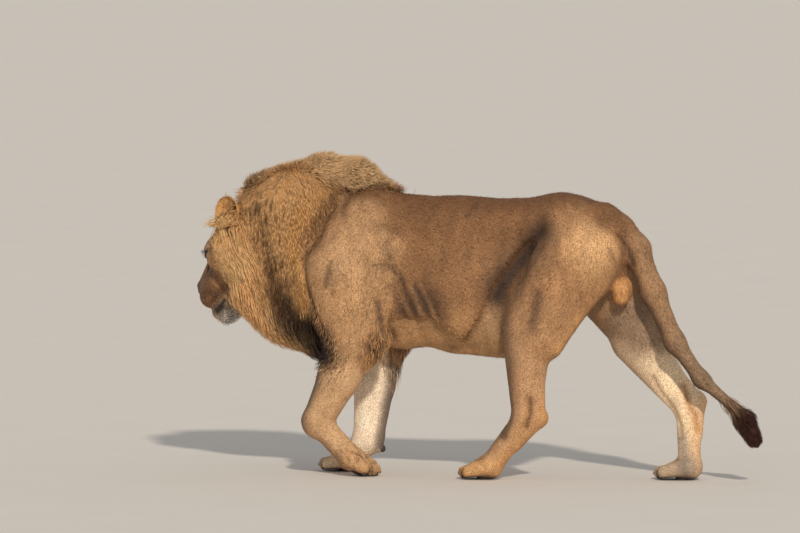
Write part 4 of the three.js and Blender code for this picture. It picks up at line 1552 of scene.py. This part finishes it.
# %% Shorthand for nodes
def add_colours(mesh, values, name="coat"):
    attribute = mesh.attributes.new(name, "FLOAT_COLOR", "POINT")
    filled = np.concatenate([values, np.ones((len(values), 1))], axis=1)
    attribute.data.foreach_set("color", filled.astype(np.float32).ravel())


def add_numbers(mesh, values, name):
    attribute = mesh.attributes.new(name, "FLOAT", "POINT")
    attribute.data.foreach_set("value", np.asarray(values, np.float32))


class Nodes:
    """Shorthand for building a material from nodes."""

    def __init__(self, name):
        self.material = bpy.data.materials.new(name)
        self.material.use_nodes = True
        self.tree = self.material.node_tree
        self.shader = self.tree.nodes["Principled BSDF"]
        self.where = self.add("TexCoord").outputs["Object"]

    def add(self, kind, settings=None, **inputs):
        node = self.tree.nodes.new("ShaderNode" + kind)
        for key, value in (settings or {}).items():
            setattr(node, key, value)
        for key, value in inputs.items():
            self.put(node.inputs[key.replace("_", " ")], value)
        return node

    def put(self, socket, value):
        if isinstance(value, bpy.types.NodeSocket):
            self.tree.links.new(value, socket)
        else:
            socket.default_value = value

    def attribute(self, name):
        return self.add("Attribute", {"attribute_name": name})

    def maths(self, operation, first, second):
        node = self.add("Math", {"operation": operation})
        self.put(node.inputs[0], first)
        self.put(node.inputs[1], second)
        return node.outputs[0]

    def noise(self, scale, detail):
        node = self.add("TexNoise", None, Vector=self.where, Scale=scale, Detail=detail, Roughness=0.6)
        return node.outputs["Fac"]

    def between(self, value, low, high):
        """A number from 0..1 spread over low..high."""
        node = self.add("MapRange", None, Value=value)
        node.inputs["To Min"].default_value = low
        node.inputs["To Max"].default_value = high
        return node.outputs[0]

    def scaled(self, colour, amount):
        node = self.add("VectorMath", {"operation": "SCALE"})
        self.put(node.inputs[0], colour)
        self.put(node.inputs["Scale"], amount)
        return node.outputs[0]

    def plain(self, colour, scale, detail, least, most):
        """One colour with soft noise in its brightness."""
        amount = self.between(self.noise(scale, detail), least, most)
        flat = self.add("CombineXYZ", None, X=colour[0], Y=colour[1], Z=colour[2])
        self.set(Base_Color=self.scaled(flat.outputs[0], amount))

    def bump(self, height, strength, distance):
        node = self.add("Bump", None, Height=height, Strength=strength, Distance=distance)
        self.put(self.shader.inputs["Normal"], node.outputs[0])

    def set(self, **inputs):
        """Sets the shader's own sockets, or links them where the value is a socket."""
        for key, value in inputs.items():
            self.put(self.shader.inputs[key.replace("_", " ")], value)


print("colours of vertices to carry:", len(colour))

# %% [markdown]
# Short fur is too fine to model hair by hair, so the skin under the tufts has fine flecks and a fine
# bump. Bare leather, such as the nose and lips, is smoother and has no flecks.

# %% Skin material
FLECK_SCALE, FINE_SCALE = 210, 520
FLECK_STRENGTH = 1.2
FUR_ROUGHNESS, LEATHER_ROUGHNESS = 0.78, 0.42
FUR_SHINE = 0.3


def skin_material():
    nodes = Nodes("coat")
    coat = nodes.attribute("coat").outputs["Color"]
    leather = nodes.attribute("bare").outputs["Fac"]
    furred = nodes.maths("SUBTRACT", 1.0, leather)
    flecks = nodes.between(nodes.noise(FLECK_SCALE, 4.0), -FLECK_STRENGTH, FLECK_STRENGTH)
    amount = nodes.maths("ADD", nodes.maths("MULTIPLY", flecks, furred), 0.96)
    roughness = nodes.between(leather, FUR_ROUGHNESS, LEATHER_ROUGHNESS)
    nodes.set(Base_Color=nodes.scaled(coat, amount), Roughness=roughness, Specular_IOR_Level=FUR_SHINE)
    nodes.bump(nodes.noise(FINE_SCALE, 3.0), 0.4, 0.002)
    return nodes.material


add_colours(skin_mesh, colour)
add_numbers(skin_mesh, bare, "bare")
skin_mesh.materials.clear()
skin_mesh.materials.append(skin_material())
skin = in_scene("skin", skin_mesh)
print("skin triangles:", sum(len(p.vertices) - 2 for p in skin_mesh.polygons))

# %% [markdown]
# ## Unwrap
# The skin is unwrapped once. Each hair then takes a small patch of that map at its root's place.

# %% Unwrap the skin
def unwrap(piece):
    bpy.ops.object.select_all(action="DESELECT")
    piece.select_set(True)
    bpy.context.view_layer.objects.active = piece
    bpy.ops.object.mode_set(mode="EDIT")
    bpy.ops.mesh.select_all(action="SELECT")
    bpy.ops.uv.smart_project(angle_limit=math.radians(66), island_margin=0.001)
    bpy.ops.object.mode_set(mode="OBJECT")
    piece.data.uv_layers.active.name = "OFBake"


unwrap(skin)
skin_mesh = skin.data
print("unwrapped:", skin_mesh.uv_layers.active.name)

# %% [markdown]
# ## The lie of the hair
# Hair lies along the muscles, away from the nose. The locks of the cheeks and throat hang, and those
# of the ears lie outwards from the cup. The ways are averaged between neighbours, so that the hair
# has no partings where two muscles meet.

# %% Lie of the hair
front_locks = np.clip(share["ruff"] + beard, 0, 1)
way = hair_lie(points)
way += 1.5 * front_locks[:, None] * (0.15 * FORWARD - UPWARD)
way[:, 2] -= 0.3 * trunk * sideways
way = np.where(in_ear[:, None], 0, way)
for side in (LEFT, RIGHT):
    chosen = in_ear & (side_of == side)
    axes = ear_axes(side)
    outer_way = ear_place[chosen][:, :2] @ axes[:2]
    inner_way = axes[0] * -side * 0.8 + axes[1] * 0.5
    way[chosen] = np.where(inner_ear[chosen][:, None], inner_way, outer_way)
way -= normals * (way * normals).sum(1)[:, None]
way = spread(way, 6)
way -= normals * (way * normals).sum(1)[:, None]
way = units(way)
print("mean lie of the hair:", way.mean(0).round(2))

# %% [markdown]
# ## Roots of the hair
# Hair grows all over. Roots are strewn over the skin's triangles, the more the larger a triangle is
# and the denser that kind of hair grows there, and each takes the skin's colour, lie and place.

# %% Roots
skin_mesh.calc_loop_triangles()
size = len(skin_mesh.loop_triangles)
corners, loops = np.empty(size * 3, np.int32), np.empty(size * 3, np.int32)
skin_mesh.loop_triangles.foreach_get("vertices", corners)
skin_mesh.loop_triangles.foreach_get("loops", loops)
corners, loops = corners.reshape(-1, 3), loops.reshape(-1, 3)
uv = np.empty(len(skin_mesh.loops) * 2, np.float32)
skin_mesh.uv_layers["OFBake"].data.foreach_get("uv", uv)
uv = uv.reshape(-1, 2)
sides = points[corners[:, 1:]] - points[corners[:, :1]]
areas = np.linalg.norm(np.cross(sides[:, 0], sides[:, 1]), axis=1) / 2
surface = BVHTree.FromPolygons(points.tolist(), corners.tolist())


def strew(count, density):
    """Roots strewn over the skin by density, a number for each vertex."""
    chance = areas * np.clip(density, 0, 1)[corners].mean(1)
    picked = rng.choice(size, count, p=chance / chance.sum())
    a, b = rng.random(count), rng.random(count)
    flip = a + b > 1
    a, b = np.where(flip, 1 - a, a), np.where(flip, 1 - b, b)
    parts = np.stack([1 - a - b, a, b], axis=1)[:, :, None]

    def here(values, index):
        return (values[index[picked]] * parts).sum(1)

    roots = {
        "place": here(points, corners),
        "normal": here(normals, corners),
        "way": here(way, corners),
        "colour": here(colour, corners),
        "uv": here(uv, loops),
    }
    for name in ("normal", "way"):
        roots[name] = units(roots[name])
    return roots


print("skin area:", round(float(areas.sum()), 2), "square metres")

# %% [markdown]
# ## One hair, or one lock
# A lock is a thin three-sided spike that bends: it leaves the skin, turns into the lie of the coat
# and ends in a point. Each step checks how high it is above the skin, so that locks follow the body.
# Curves with a hair system would look finer, but these solid spikes can be used outside Blender too.

# %% Grow locks
ROOT_DEPTH = 2 * MM
RISE_PULL = 0.85


def grow(roots, length, lift, rise, droop, curl, steps):
    """The points of each lock, from root to tip. rise is how high above the skin its tip comes."""
    count = len(roots["place"])
    wave = rng.normal(size=(count, 3)) * curl
    heading = roots["way"] * math.cos(lift) + roots["normal"] * math.sin(lift) + wave * 0.5
    points = [roots["place"] - roots["normal"] * ROOT_DEPTH]
    stride = (length / steps)[:, None]
    for step in range(1, steps + 1):
        part = step / steps
        heading[:, 2] -= droop / steps
        heading += wave * math.cos(part * 5)
        heading /= np.linalg.norm(heading, axis=1)[:, None]
        spot = points[-1] + heading * stride
        if rise is not None:
            found = [surface.find_nearest(p) for p in spot.tolist()]
            foot = np.array([hit[0][:] for hit in found])
            normal = np.array([hit[1][:] for hit in found])
            height = ((spot - foot) * normal).sum(1)
            wanted = rise * (1 - (1 - part) ** 2)
            spot += normal * ((wanted - height) * RISE_PULL)[:, None]
        points.append(spot)
    return np.stack(points, axis=1)


print("hair starts", ROOT_DEPTH, "m below the skin")


# %% [markdown]
# Each step of a lock gets three corners round its middle, and the last one only a point. The corners
# are worked out for all locks at once, because a bmesh would take minutes for so many hairs.

# %% Make locks solid
def taper(steps):
    """How wide a lock is at each step: narrow at its root, widest before its middle, then thinner."""
    along = np.arange(steps) / steps
    return 0.55 + 0.45 * np.sin(np.minimum(along / 0.4, 1) * math.pi / 2) - 0.62 * ramp(along, 0.45, 1.15)


PATCH = 0.003
BRIGHTEST = 0.86


def hair_mesh(name, roots, paths, width, tone, thickness=0.3):
    """One mesh of three-sided spikes along paths, with colours and a patch of the skin's map each."""
    count, rings = paths.shape[0], paths.shape[1] - 1
    ahead = np.gradient(paths, axis=1)
    ahead /= np.maximum(np.linalg.norm(ahead, axis=2), 1e-9)[:, :, None]
    up = roots["normal"][:, None, :] - ahead * (ahead * roots["normal"][:, None, :]).sum(2)[:, :, None]
    up /= np.maximum(np.linalg.norm(up, axis=2), 1e-9)[:, :, None]
    left = np.cross(up, ahead)
    half = (width[:, None] / 2 * taper(rings))[:, :, None]
    middle_line, left, up = paths[:, :-1], left[:, :-1], up[:, :-1]
    ring = np.stack([
        middle_line - left * half,
        middle_line + left * half,
        middle_line + up * half * 2 * thickness,
    ], axis=2).reshape(count, rings * 3, 3)
    vertices = np.concatenate([ring, paths[:, -1:]], axis=1)
    vertices[:, :, 2] = np.maximum(vertices[:, :, 2], 0)
    each = rings * 3 + 1
    faces = [(0, 2, 1)]
    for k in range(rings - 1):
        for i in range(3):
            a, b = k * 3 + i, k * 3 + (i + 1) % 3
            faces += [(a, b, a + 3), (b, b + 3, a + 3)]
    last = (rings - 1) * 3
    faces += [(last + i, last + (i + 1) % 3, each - 1) for i in range(3)]
    faces = np.array(faces, np.int32)
    corner = (faces[None] + (np.arange(count) * each)[:, None, None]).reshape(-1).astype(np.int32)
    total = count * len(faces)
    mesh = bpy.data.meshes.new(name)
    mesh.vertices.add(count * each)
    mesh.vertices.foreach_set("co", vertices.astype(np.float32).ravel())
    mesh.loops.add(total * 3)
    mesh.loops.foreach_set("vertex_index", corner)
    mesh.polygons.add(total)
    mesh.polygons.foreach_set("loop_start", np.arange(total, dtype=np.int32) * 3)
    mesh.polygons.foreach_set("use_smooth", np.ones(total, bool))
    level = np.append(np.repeat(np.arange(rings) / rings, 3), 1.0)
    shade = tone[0] + (tone[1] - tone[0]) * level
    tints = roots["colour"][:, None, :] * roots["tone"][:, None, :] * shade[None, :, None]
    tints /= np.maximum(tints.max(axis=2, keepdims=True) / BRIGHTEST, 1)
    add_colours(mesh, tints.reshape(-1, 3))
    patch = np.stack([
        np.append(np.tile([-1.0, 1.0, 0.0], rings), 0.0), level * 2 - 1], axis=1) * PATCH / 2
    places = (roots["uv"][:, None, :] + patch[None]).reshape(-1, 2)
    layer = mesh.uv_layers.new(name="OFBake")
    layer.data.foreach_set("uv", places[corner].astype(np.float32).ravel())
    mesh.update(calc_edges=True)
    return mesh


print("widths of a lock of 4 steps:", taper(4).round(2))

# %% [markdown]
# Hair takes its colour from its vertices too. It is darker at the root, where other hair shades it,
# and the mane's long hair is a little smoother than fur.

# %% Hair materials
def hair_material(name, roughness):
    nodes = Nodes(name)
    coat = nodes.attribute("coat").outputs["Color"]
    amount = nodes.between(nodes.noise(FLECK_SCALE, 2.0), 0.82, 1.18)
    nodes.set(Base_Color=nodes.scaled(coat, amount), Roughness=roughness, Specular_IOR_Level=FUR_SHINE)
    return nodes.material


HAIR = {
    "coat": hair_material("fur", 0.6),
    "mane": hair_material("mane hair", 0.52),
    "tuft": hair_material("tuft hair", 0.5),
}
coat_pieces = []
print("kinds of hair:", list(HAIR))


def add_hair(name, slot, roots, paths, width, tone):
    mesh = hair_mesh(name, roots, paths, width, tone)
    mesh.materials.append(HAIR[slot])
    coat_pieces.append((in_scene(name, mesh), slot))
    return len(mesh.polygons)


def coat_triangles():
    return sum(len(piece.data.polygons) for piece, _ in coat_pieces)


# %% [markdown]
# ## The short coat
# Short tufts break up the smooth skin everywhere, so the edge of the body is soft from every side.
# They are tiny on the ears and face, a little longer on the legs, and longest on the body.

# %% Short tufts
def vary(roots, brightness, warmth, clumps=0.13):
    """Gives each hair a tone of its own, with some likeness between neighbours."""
    count = len(roots["place"])
    light = rng.normal(0, brightness, count) + clumps * ripples(roots["place"] * [1, 1, 0.4], 15, 8)
    light += 0.5 * clumps * ripples(roots["place"] * [1, 1, 0.4], 45, 9)
    warm = rng.normal(0, warmth, count)[:, None]
    roots["tone"] = np.exp(light)[:, None] * (1 + warm * np.array([1.0, 0.2, -1.0]))


furred = 1 - np.clip(bare * 2, 0, 1)
head_share = share["skull"] + share["jaw"] + share["nose"]
short = furred * (1 - mane) * (1 - share["tuft"])
back_half = ramp(along, -60, -59)
front_body = short * (1 - head_share) * (1 - legs) * (1 - back_half)
back_body = short * (1 - legs) * back_half
SHORT = {
    # name: (where, count, length, width) in millimetres
    "fur_fore_left": (front_body * (across < 0), 23000, 19, 2.4),
    "fur_fore_right": (front_body * (across >= 0), 13000, 20, 3.0),
    "fur_hind_left": (back_body * (across < 0), 25000, 19, 2.4),
    "fur_hind_right": (back_body * (across >= 0), 13000, 20, 3.0),
    "fur_legs": (short * legs, 27000, 13, 2.0),
    "fur_head": (short * head_share * ~in_ear, 18000, 8, 1.4),
    "fur_ears": (short * in_ear, 3000, 6, 1.3),
}
SHORT_LIFT, SHORT_CURL = 0.24, 0.16
for name, (where, count, length, width) in SHORT.items():
    roots = strew(count, where)
    vary(roots, 0.36, 0.05, 0.32)
    lengths = length * MM * rng.uniform(0.6, 1.25, count)
    if name == "fur_head":
        face_size = 0.5 + 0.5 * ramp(-in_head(roots["place"])[:, 0], -330, -150)
        lengths *= face_size * 1.4
    paths = grow(roots, lengths, SHORT_LIFT, None, 0.0, SHORT_CURL, 1)
    widths = width * MM * rng.uniform(0.7, 1.3, count)
    print(name, add_hair(name, "coat", roots, paths, widths, (0.72, 1.26)))

# %% [markdown]
# ## The long hair
# The mane is many layers of locks. Those of the neck are tousled, those of the crest stand back,
# those of the cheek hang smooth and pale, and those of the chest hang dark. The tail ends in a tuft,
# and there is a fringe behind the elbow and at the flank.

# %% Where the long hair grows
NECK_MIDDLE = 20
elbow_hair = (forearm + shoulder) * flank_spot(-332, 456, 32, 80)
elbow_hair = elbow_hair * ramp(normals[:, 0], -0.2, 0.3)
fringe = trunk * np.exp(-((above - 4) / 9) ** 2) * ramp(along, -150, -100)
fringe = fringe * ramp(-along, -84, -50) * ramp(sideways, 0.3, 0.6)
chin_hair = spot(cheek, (296, 0, -152), (70, 54, 26)) * skull * ramp(downwards, 0.1, 0.5)
crown = share["skull"] * ramp(-face[:, 0], -150, -90)
ear_front = inner_ear * ramp(ear_place[:, 0] * side_of - ear_place[:, 1] * 0.3, -0.1, 0.5)
left_side, right_side = across < NECK_MIDDLE, across >= NECK_MIDDLE
upper = ramp(height, 820, 880)
neck_hair = collar * (1 - 0.7 * ramp(-front_gap, -130, -70))
front_edge = low_mane * ramp(-front_gap, -150, -90)
print("vertices with neck hair:", int((neck_hair > 0.5).sum()))

# %% [markdown]
# Each kind of long hair is one row: where it grows, how many locks, how long and wide they are in
# millimetres, how steeply they leave the skin, how high their tips come above it, how much they
# droop and curl, and how many steps a lock has.

# %% Long locks
LONG = {
    # name: (slot, where, count, length, width, lift, rise, droop, curl, steps)
    "mane_left_top": ("mane", neck_hair * left_side * upper, 15000, 42, 2.5, 0.45, 18, 0.2, 0.3, 2),
    "mane_left_low": ("mane", neck_hair * left_side * (1 - upper), 11000, 46, 2.5, 0.45, 18, 0.25, 0.26, 2),
    "mane_right": ("mane", neck_hair * right_side, 9000, 58, 4.0, 0.5, 24, 0.25, 0.24, 2),
    "crest_hair": ("mane", crest, 12500, 56, 2.5, 0.9, 34, 0.0, 0.3, 2),
    "chest_hair": ("mane", np.clip(share["bib"] + over_arm, 0, 1), 7000, 52, 2.8, 0.45, 24, 0.5, 0.2, 3),
    "mane_cheeks": ("mane", front_locks, 6800, 104, 2.6, 0.26, 14, 0.5, 0.05, 4),
    "mane_front": ("mane", front_edge, 5400, 92, 2.8, 0.5, 34, 0.6, 0.1, 4),
    "crown": ("mane", crown * (1 - beard), 2600, 28, 2.0, 0.5, 11, 0.0, 0.2, 2),
    "tail_tuft": ("tuft", share["tuft"], 2600, 56, 2.4, 0.4, 20, 0.1, 0.14, 3),
    "elbow_hair": ("mane", elbow_hair, 1500, 54, 2.2, 0.55, 22, 0.3, 0.4, 4),
    "flank_fringe": ("coat", fringe, 900, 24, 2.2, 0.25, 5, 0.5, 0.12, 3),
    "chin_hair": ("coat", chin_hair, 1000, 38, 2.0, 0.5, 16, 0.7, 0.12, 3),
    "ear_hair": ("coat", ear_front, 500, 20, 1.5, 0.5, 8, 0.1, 0.45, 3),
}
SHORTER = {
    # name: how much of the length is lost, between which places along the body
    "crest_hair": (0.6, -520, -380),
    "chest_hair": (0.5, -640, -590),
}
SMOOTH = ("mane_cheeks", "mane_front")
SMOOTH_TONES, TOUSLED_TONES = (0.78, 1.6), (0.6, 1.64)
PALE_EAR_HAIR, GILDED_HAIR = rgb(248, 194, 134), rgb(200, 150, 96)
HALF_BREADTH = 0.25
for name, (slot, where, count, length, width, lift, rise, droop, curl, steps) in LONG.items():
    roots = strew(count, np.clip(where, 0, 1) * furred * (in_ear == (name == "ear_hair")))
    vary(roots, 0.13 if name in SMOOTH else 0.24, 0.05, 0.22)
    lengths = length * MM * rng.uniform(0.6, 1.3, count)
    if name in SHORTER:
        loss, start, end = SHORTER[name]
        lengths *= 1 - loss * ramp((roots["place"][:, 0] - ORIGIN[0]) / MM, start, end)
    if name == "ear_hair":
        roots["colour"] = roots["colour"] * 0.15 + PALE_EAR_HAIR * 0.85
    if name == "elbow_hair":
        gilded = rng.random(count)[:, None] < 0.35
        roots["colour"] = np.where(gilded, GILDED_HAIR, roots["colour"])
    rises = rise * MM * rng.uniform(0.2, 1.0, count)
    if name == "mane_cheeks":
        rises *= 1 + ramp(in_head(roots["place"])[:, 2], 30, 80)
    paths = grow(roots, lengths, lift, rises, droop, curl, steps)
    paths[:, :, 1] = np.clip(paths[:, :, 1], -HALF_BREADTH, HALF_BREADTH)
    widths = width * MM * rng.uniform(0.6, 1.3, count)
    tones = SMOOTH_TONES if name in SMOOTH else TOUSLED_TONES
    print(name, add_hair(name, slot, roots, paths, widths, tones))
print("triangles in the coat:", coat_triangles())

# %% [markdown]
# ## Eyes
# Each eye is a ball behind the lids, with a round pupil in an amber iris, as in all big cats, and a
# dark edge where the iris meets the white. The clear front is wet, so it has a clear coat.

# %% Eyes
IRIS_ANGLE, PUPIL_ANGLE, CORNEA_BULGE = 0.62, 0.2, 1.3 * MM


def eye_piece(name, side, middle_of_eye):
    look = eye_axes(side)[0]
    bm = bmesh.new()
    bmesh.ops.create_uvsphere(bm, u_segments=64, v_segments=48, radius=EYE_RADIUS)
    turn = Vector(look).to_track_quat("Z", "Y").to_matrix()
    bmesh.ops.rotate(bm, verts=bm.verts, matrix=turn)
    angles = []
    for vertex in bm.verts:
        angle = vertex.co.angle(Vector(look))
        angles.append(angle)
        bulge = CORNEA_BULGE * max(0, math.cos(min(angle / IRIS_ANGLE, 1) * math.pi / 2))
        vertex.co = Vector(middle_of_eye) + vertex.co.normalized() * (EYE_RADIUS + bulge)
    mesh = mesh_of(bm, name)
    shade_smooth(mesh)
    add_numbers(mesh, angles, "gaze")
    mesh.materials.append(eye_material())
    return in_scene(name, mesh)


def eye_material():
    nodes = Nodes("eye")
    gaze = nodes.attribute("gaze").outputs["Fac"]
    wobble = nodes.between(nodes.noise(260, 2.0), -0.03, 0.03)
    ramp_node = nodes.add("ValToRGB")
    nodes.put(ramp_node.inputs[0], nodes.maths("ADD", gaze, wobble))
    stops = ramp_node.color_ramp.elements
    rings = (
        (PUPIL_ANGLE - 0.015, (4, 3, 3)), (PUPIL_ANGLE + 0.015, (150, 92, 30)),
        (0.4, (196, 132, 46)), (IRIS_ANGLE - 0.07, (120, 70, 26)),
        (IRIS_ANGLE, (24, 16, 12)), (IRIS_ANGLE + 0.1, (60, 44, 36)), (1.0, (120, 96, 80)),
    )
    while len(stops) < len(rings):
        stops.new(0.5)
    for stop, (angle, ring_colour) in zip(stops, rings):
        stop.position = angle
        stop.color = (*rgb(*ring_colour), 1)
    nodes.set(Base_Color=ramp_node.outputs["Color"], Roughness=0.25)
    nodes.set(Coat_Weight=1.0, Coat_Roughness=0.03)
    return nodes.material


eyes = [
    eye_piece("left_eye", LEFT, EYE_PLACES[0]),
    eye_piece("right_eye", RIGHT, EYE_PLACES[1]),
]
print("eyes:", [piece.name for piece in eyes])

# %% [markdown]
# ## Whiskers and lashes
# Whiskers are stiff and pale and stand out in rows from the whisker pads. Lashes are short and dark.
# Both are spikes of the same kind as the hair, but rounder, and each bends in a plain curve.

# %% Bristles
BRISTLE_POINTS = 8


def bristle_material(name, bristle_colour):
    nodes = Nodes(name)
    nodes.plain(bristle_colour, 90, 1.0, 0.85, 1.15)
    nodes.set(Roughness=0.4)
    return nodes.material


def bristles(name, material, starts, ways, lengths, width, sag):
    count = len(starts)
    roots = {
        "normal": np.tile([0.0, 0.0, 1.0], (count, 1)),
        "colour": np.full((count, 3), 0.8),
        "tone": np.ones((count, 3)),
        "uv": np.full((count, 2), 0.5),
    }
    steps = np.linspace(0, 1, BRISTLE_POINTS)[None, :, None]
    paths = starts[:, None, :] + ways[:, None, :] * steps * lengths[:, None, None]
    paths[:, :, 2] -= (steps[:, :, 0] ** 2) * sag * lengths[:, None]
    mesh = hair_mesh(name, roots, paths, np.full(count, width), (1, 1), thickness=0.9)
    mesh.materials.append(material)
    return in_scene(name, mesh)


print("points in a bristle:", BRISTLE_POINTS)

# %% [markdown]
# Whiskers start from the nearest point of the skin, so that none hangs in the air. The ones farther
# back point more to the rear, and the lower rows more downwards. Lashes follow the upper edge of
# the eye's opening.

# %% Whiskers and lashes
WHISKER_ROWS, WHISKERS_IN_ROW = (-32, -46, -60), 5
LASHES = 14
whisker_roots, whisker_ways, lash_roots, lash_ways = [], [], [], []
for side, middle_of_eye in zip((LEFT, RIGHT), EYE_PLACES):
    for row, up in enumerate(WHISKER_ROWS):
        for step in range(WHISKERS_IN_ROW):
            root = on_cheek(side, 342 - step * 12 - row * 4, 33 + step * 3, up)
            foot = surface.find_nearest(root)
            out = on_cheek(side, -0.5 - step * 0.12, 0.75, -0.2 - row * 0.14) - HEAD_AT
            whisker_roots.append(np.array(foot[0]) - np.array(foot[1]) * MM)
            whisker_ways.append(unit(out))
    look, slit, lid = eye_axes(side)
    for step in range(LASHES):
        x = -0.7 + step * 0.12
        y = SLIT_HEIGHT * (1 - (x / SLIT_LENGTH) ** 2) + 0.06
        z = math.sqrt(max(0, 1 - x * x - y * y))
        out = slit * x * 0.5 + lid * 0.75 + look
        lash_roots.append(middle_of_eye + (slit * x + lid * y + look * z) * (EYE_RADIUS + 1.5 * MM))
        lash_ways.append(unit(out))
whisker_roots, whisker_ways = np.array(whisker_roots), np.array(whisker_ways)
whiskers = bristles("whiskers", bristle_material("whisker", rgb(206, 192, 168)), whisker_roots,
                    whisker_ways, rng.uniform(0.06, 0.09, len(whisker_roots)), 0.7 * MM, 0.3)
lashes = bristles("lashes", bristle_material("lash", rgb(38, 28, 24)), np.array(lash_roots),
                  np.array(lash_ways), rng.uniform(0.012, 0.02, len(lash_roots)), 1.1 * MM, 0.1)
print("whiskers:", len(whisker_roots), "lashes:", len(lash_roots))

# %% [markdown]
# ## Claws and pads
# A walking lion keeps its claws drawn in, so that only their tips show between the hairs of the toes.
# The pads are dark leather cushions under each paw, and one more sits behind each wrist.

# %% Places of the claws and pads
TOE_PAD, PALM_PAD, WRIST_CUSHION = (15, 11, 9), (30, 34, 12), (13, 11, 15)
WRIST_PAD_WAY = (1, 0, 0.3)


def cushion(bm, centre, sizes, way):
    """A flattened ball that lies along way and doesn't go below the floor."""
    ball = bmesh.ops.create_uvsphere(bm, u_segments=20, v_segments=14, radius=1)
    turn = Vector(way).to_track_quat("X", "Z").to_matrix()
    for vertex in ball["verts"]:
        local = Vector([vertex.co[i] * sizes[i] * MM for i in range(3)])
        vertex.co = Vector(centre) + turn @ local
        vertex.co.z = max(vertex.co.z, 0)


claw_roots, claw_ways = [], []
pads = bmesh.new()
for group, width in ((FORELEGS, FORE_WIDTH), (HIND_LEGS, HIND_WIDTH)):
    for side, leg in group.items():
        knuckle, toe = leg["knuckle"], leg["toe"]
        toe_way = unit(toe - knuckle)
        for place_now in TOE_PLACES:
            set_back = (abs(place_now) - 0.5) * OUTER_TOE_SET_BACK * MM
            tip = shifted(toe, 0, place_now * TOE_SPREAD * width, 5) - toe_way * set_back
            claw_roots.append(tip + toe_way * (TOE_RADIUS - 8) * MM)
            claw_ways.append(toe_way * 0.8 - np.array([0, 0, 0.4]))
            cushion(pads, tip - [0, 0, 20 * MM], TOE_PAD, toe_way)
        cushion(pads, shifted(between(knuckle, toe, 0.25), 0, 0, -38), PALM_PAD, toe_way)
        if group is FORELEGS:
            wrist_back = shifted(leg["wrist"], WRIST_PAD[0] + 16, side * WRIST_PAD[1], WRIST_PAD[2] - 6)
            cushion(pads, wrist_back, WRIST_CUSHION, WRIST_PAD_WAY)
print("claws:", len(claw_roots))

# %% [markdown]
# A claw is a short thick bristle. The pads are one mesh of closed balls, in matt dark leather.

# %% Claws and pads
CLAW_LENGTH, CLAW_WIDTH = 15 * MM, 6.5 * MM
PAD_COLOUR, PAD_GRAIN = (0.045, 0.034, 0.03), 160
claws = bristles("claws", bristle_material("claw", rgb(70, 56, 44)), np.array(claw_roots),
                 np.array(claw_ways), np.full(len(claw_roots), CLAW_LENGTH), CLAW_WIDTH, 0.1)
for vertex in claws.data.vertices:
    vertex.co.z = max(vertex.co.z, 0)
pad_mesh = mesh_of(pads, "pads")
shade_smooth(pad_mesh)
pad_nodes = Nodes("pad")
pad_nodes.plain(PAD_COLOUR, PAD_GRAIN, 3.0, 0.7, 1.3)
pad_nodes.set(Roughness=0.7)
pad_nodes.bump(pad_nodes.noise(PAD_GRAIN, 3.0), 0.5, 0.002)
pad_mesh.materials.append(pad_nodes.material)
pad_piece = in_scene("pads", pad_mesh)
print("pad vertices:", len(pad_mesh.vertices))

# %% [markdown]
# ## Floor and light
# The lion stands on a plain pale floor. A warm sun comes from its left and a little from behind, with
# a soft sky, so that a colour of the coat shows about as it was written. A picture of a sky would
# light it too, but a lamp and one plain colour are easier to judge by.

# %% Floor
def plane(name, corner_points, shade):
    bm = bmesh.new()
    bm.faces.new([bm.verts.new(corner) for corner in corner_points])
    mesh = mesh_of(bm, name)
    nodes = Nodes(name)
    nodes.plain(shade, 3.0, 2.0, 0.97, 1.03)
    nodes.set(Roughness=0.9)
    mesh.materials.append(nodes.material)
    return in_scene(name, mesh)


FLOOR_SIZE = 200
floor = plane("floor", [
    (-FLOOR_SIZE, -FLOOR_SIZE, 0), (FLOOR_SIZE, -FLOOR_SIZE, 0),
    (FLOOR_SIZE, FLOOR_SIZE, 0), (-FLOOR_SIZE, FLOOR_SIZE, 0),
], rgb(222, 214, 204))
print("floor:", FLOOR_SIZE * 2, "metres wide")

# %% [markdown]
# The sun's angle makes its shadow a little soft at the edge. The sky is weak, so that the folds
# stay visible, and the picture's tones are kept plain.

# %% Sun and sky
SUN_STRENGTH, SUN_COLOUR, SUN_WIDTH = 2.3, (1.0, 0.93, 0.82), math.radians(3)
SUN_FROM = Vector((0.42, -0.8, 0.54))
SKY_STRENGTH, SKY_COLOUR = 0.45, (0.93, 0.96, 1.0, 1)

sun_data = bpy.data.lights.new("sun", "SUN")
sun_data.energy = SUN_STRENGTH
sun_data.angle = SUN_WIDTH
sun_data.color = SUN_COLOUR
sun = in_scene("sun", sun_data)
sun.rotation_mode = "QUATERNION"
sun.rotation_quaternion = SUN_FROM.to_track_quat("Z", "Y")

world = bpy.data.worlds.new("world")
bpy.context.scene.world = world
world.use_nodes = True
sky = world.node_tree.nodes["Background"]
sky.inputs["Color"].default_value = SKY_COLOUR
sky.inputs["Strength"].default_value = SKY_STRENGTH
bpy.context.scene.view_settings.view_transform = "Standard"
print("sun from", [round(v, 2) for v in SUN_FROM.normalized()])

# %% [markdown]
# ## What stands for what
# The skin stands for every solid of the flesh and the mane, and the eyes for the eye solids, and those
# solids are hidden. All pieces move with the one body.

BALLS = {"left_eye": "eye_left", "right_eye": "eye_right"}
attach(skin, "root")
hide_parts(*[name for name in frame["nodes"] if name not in EYE_NODES])
for piece in eyes:
    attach(piece, "root")
    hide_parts(BALLS[piece.name])
for piece, slot in coat_pieces:
    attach(piece, "root")
for piece, slot in ((whiskers, "whisker"), (lashes, "whisker"), (claws, "claw"), (pad_piece, "pad")):
    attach(piece, "root")
print("pieces:", len(coat_pieces) + len(eyes) + 5, "with the skin, whiskers, lashes, claws and pads")
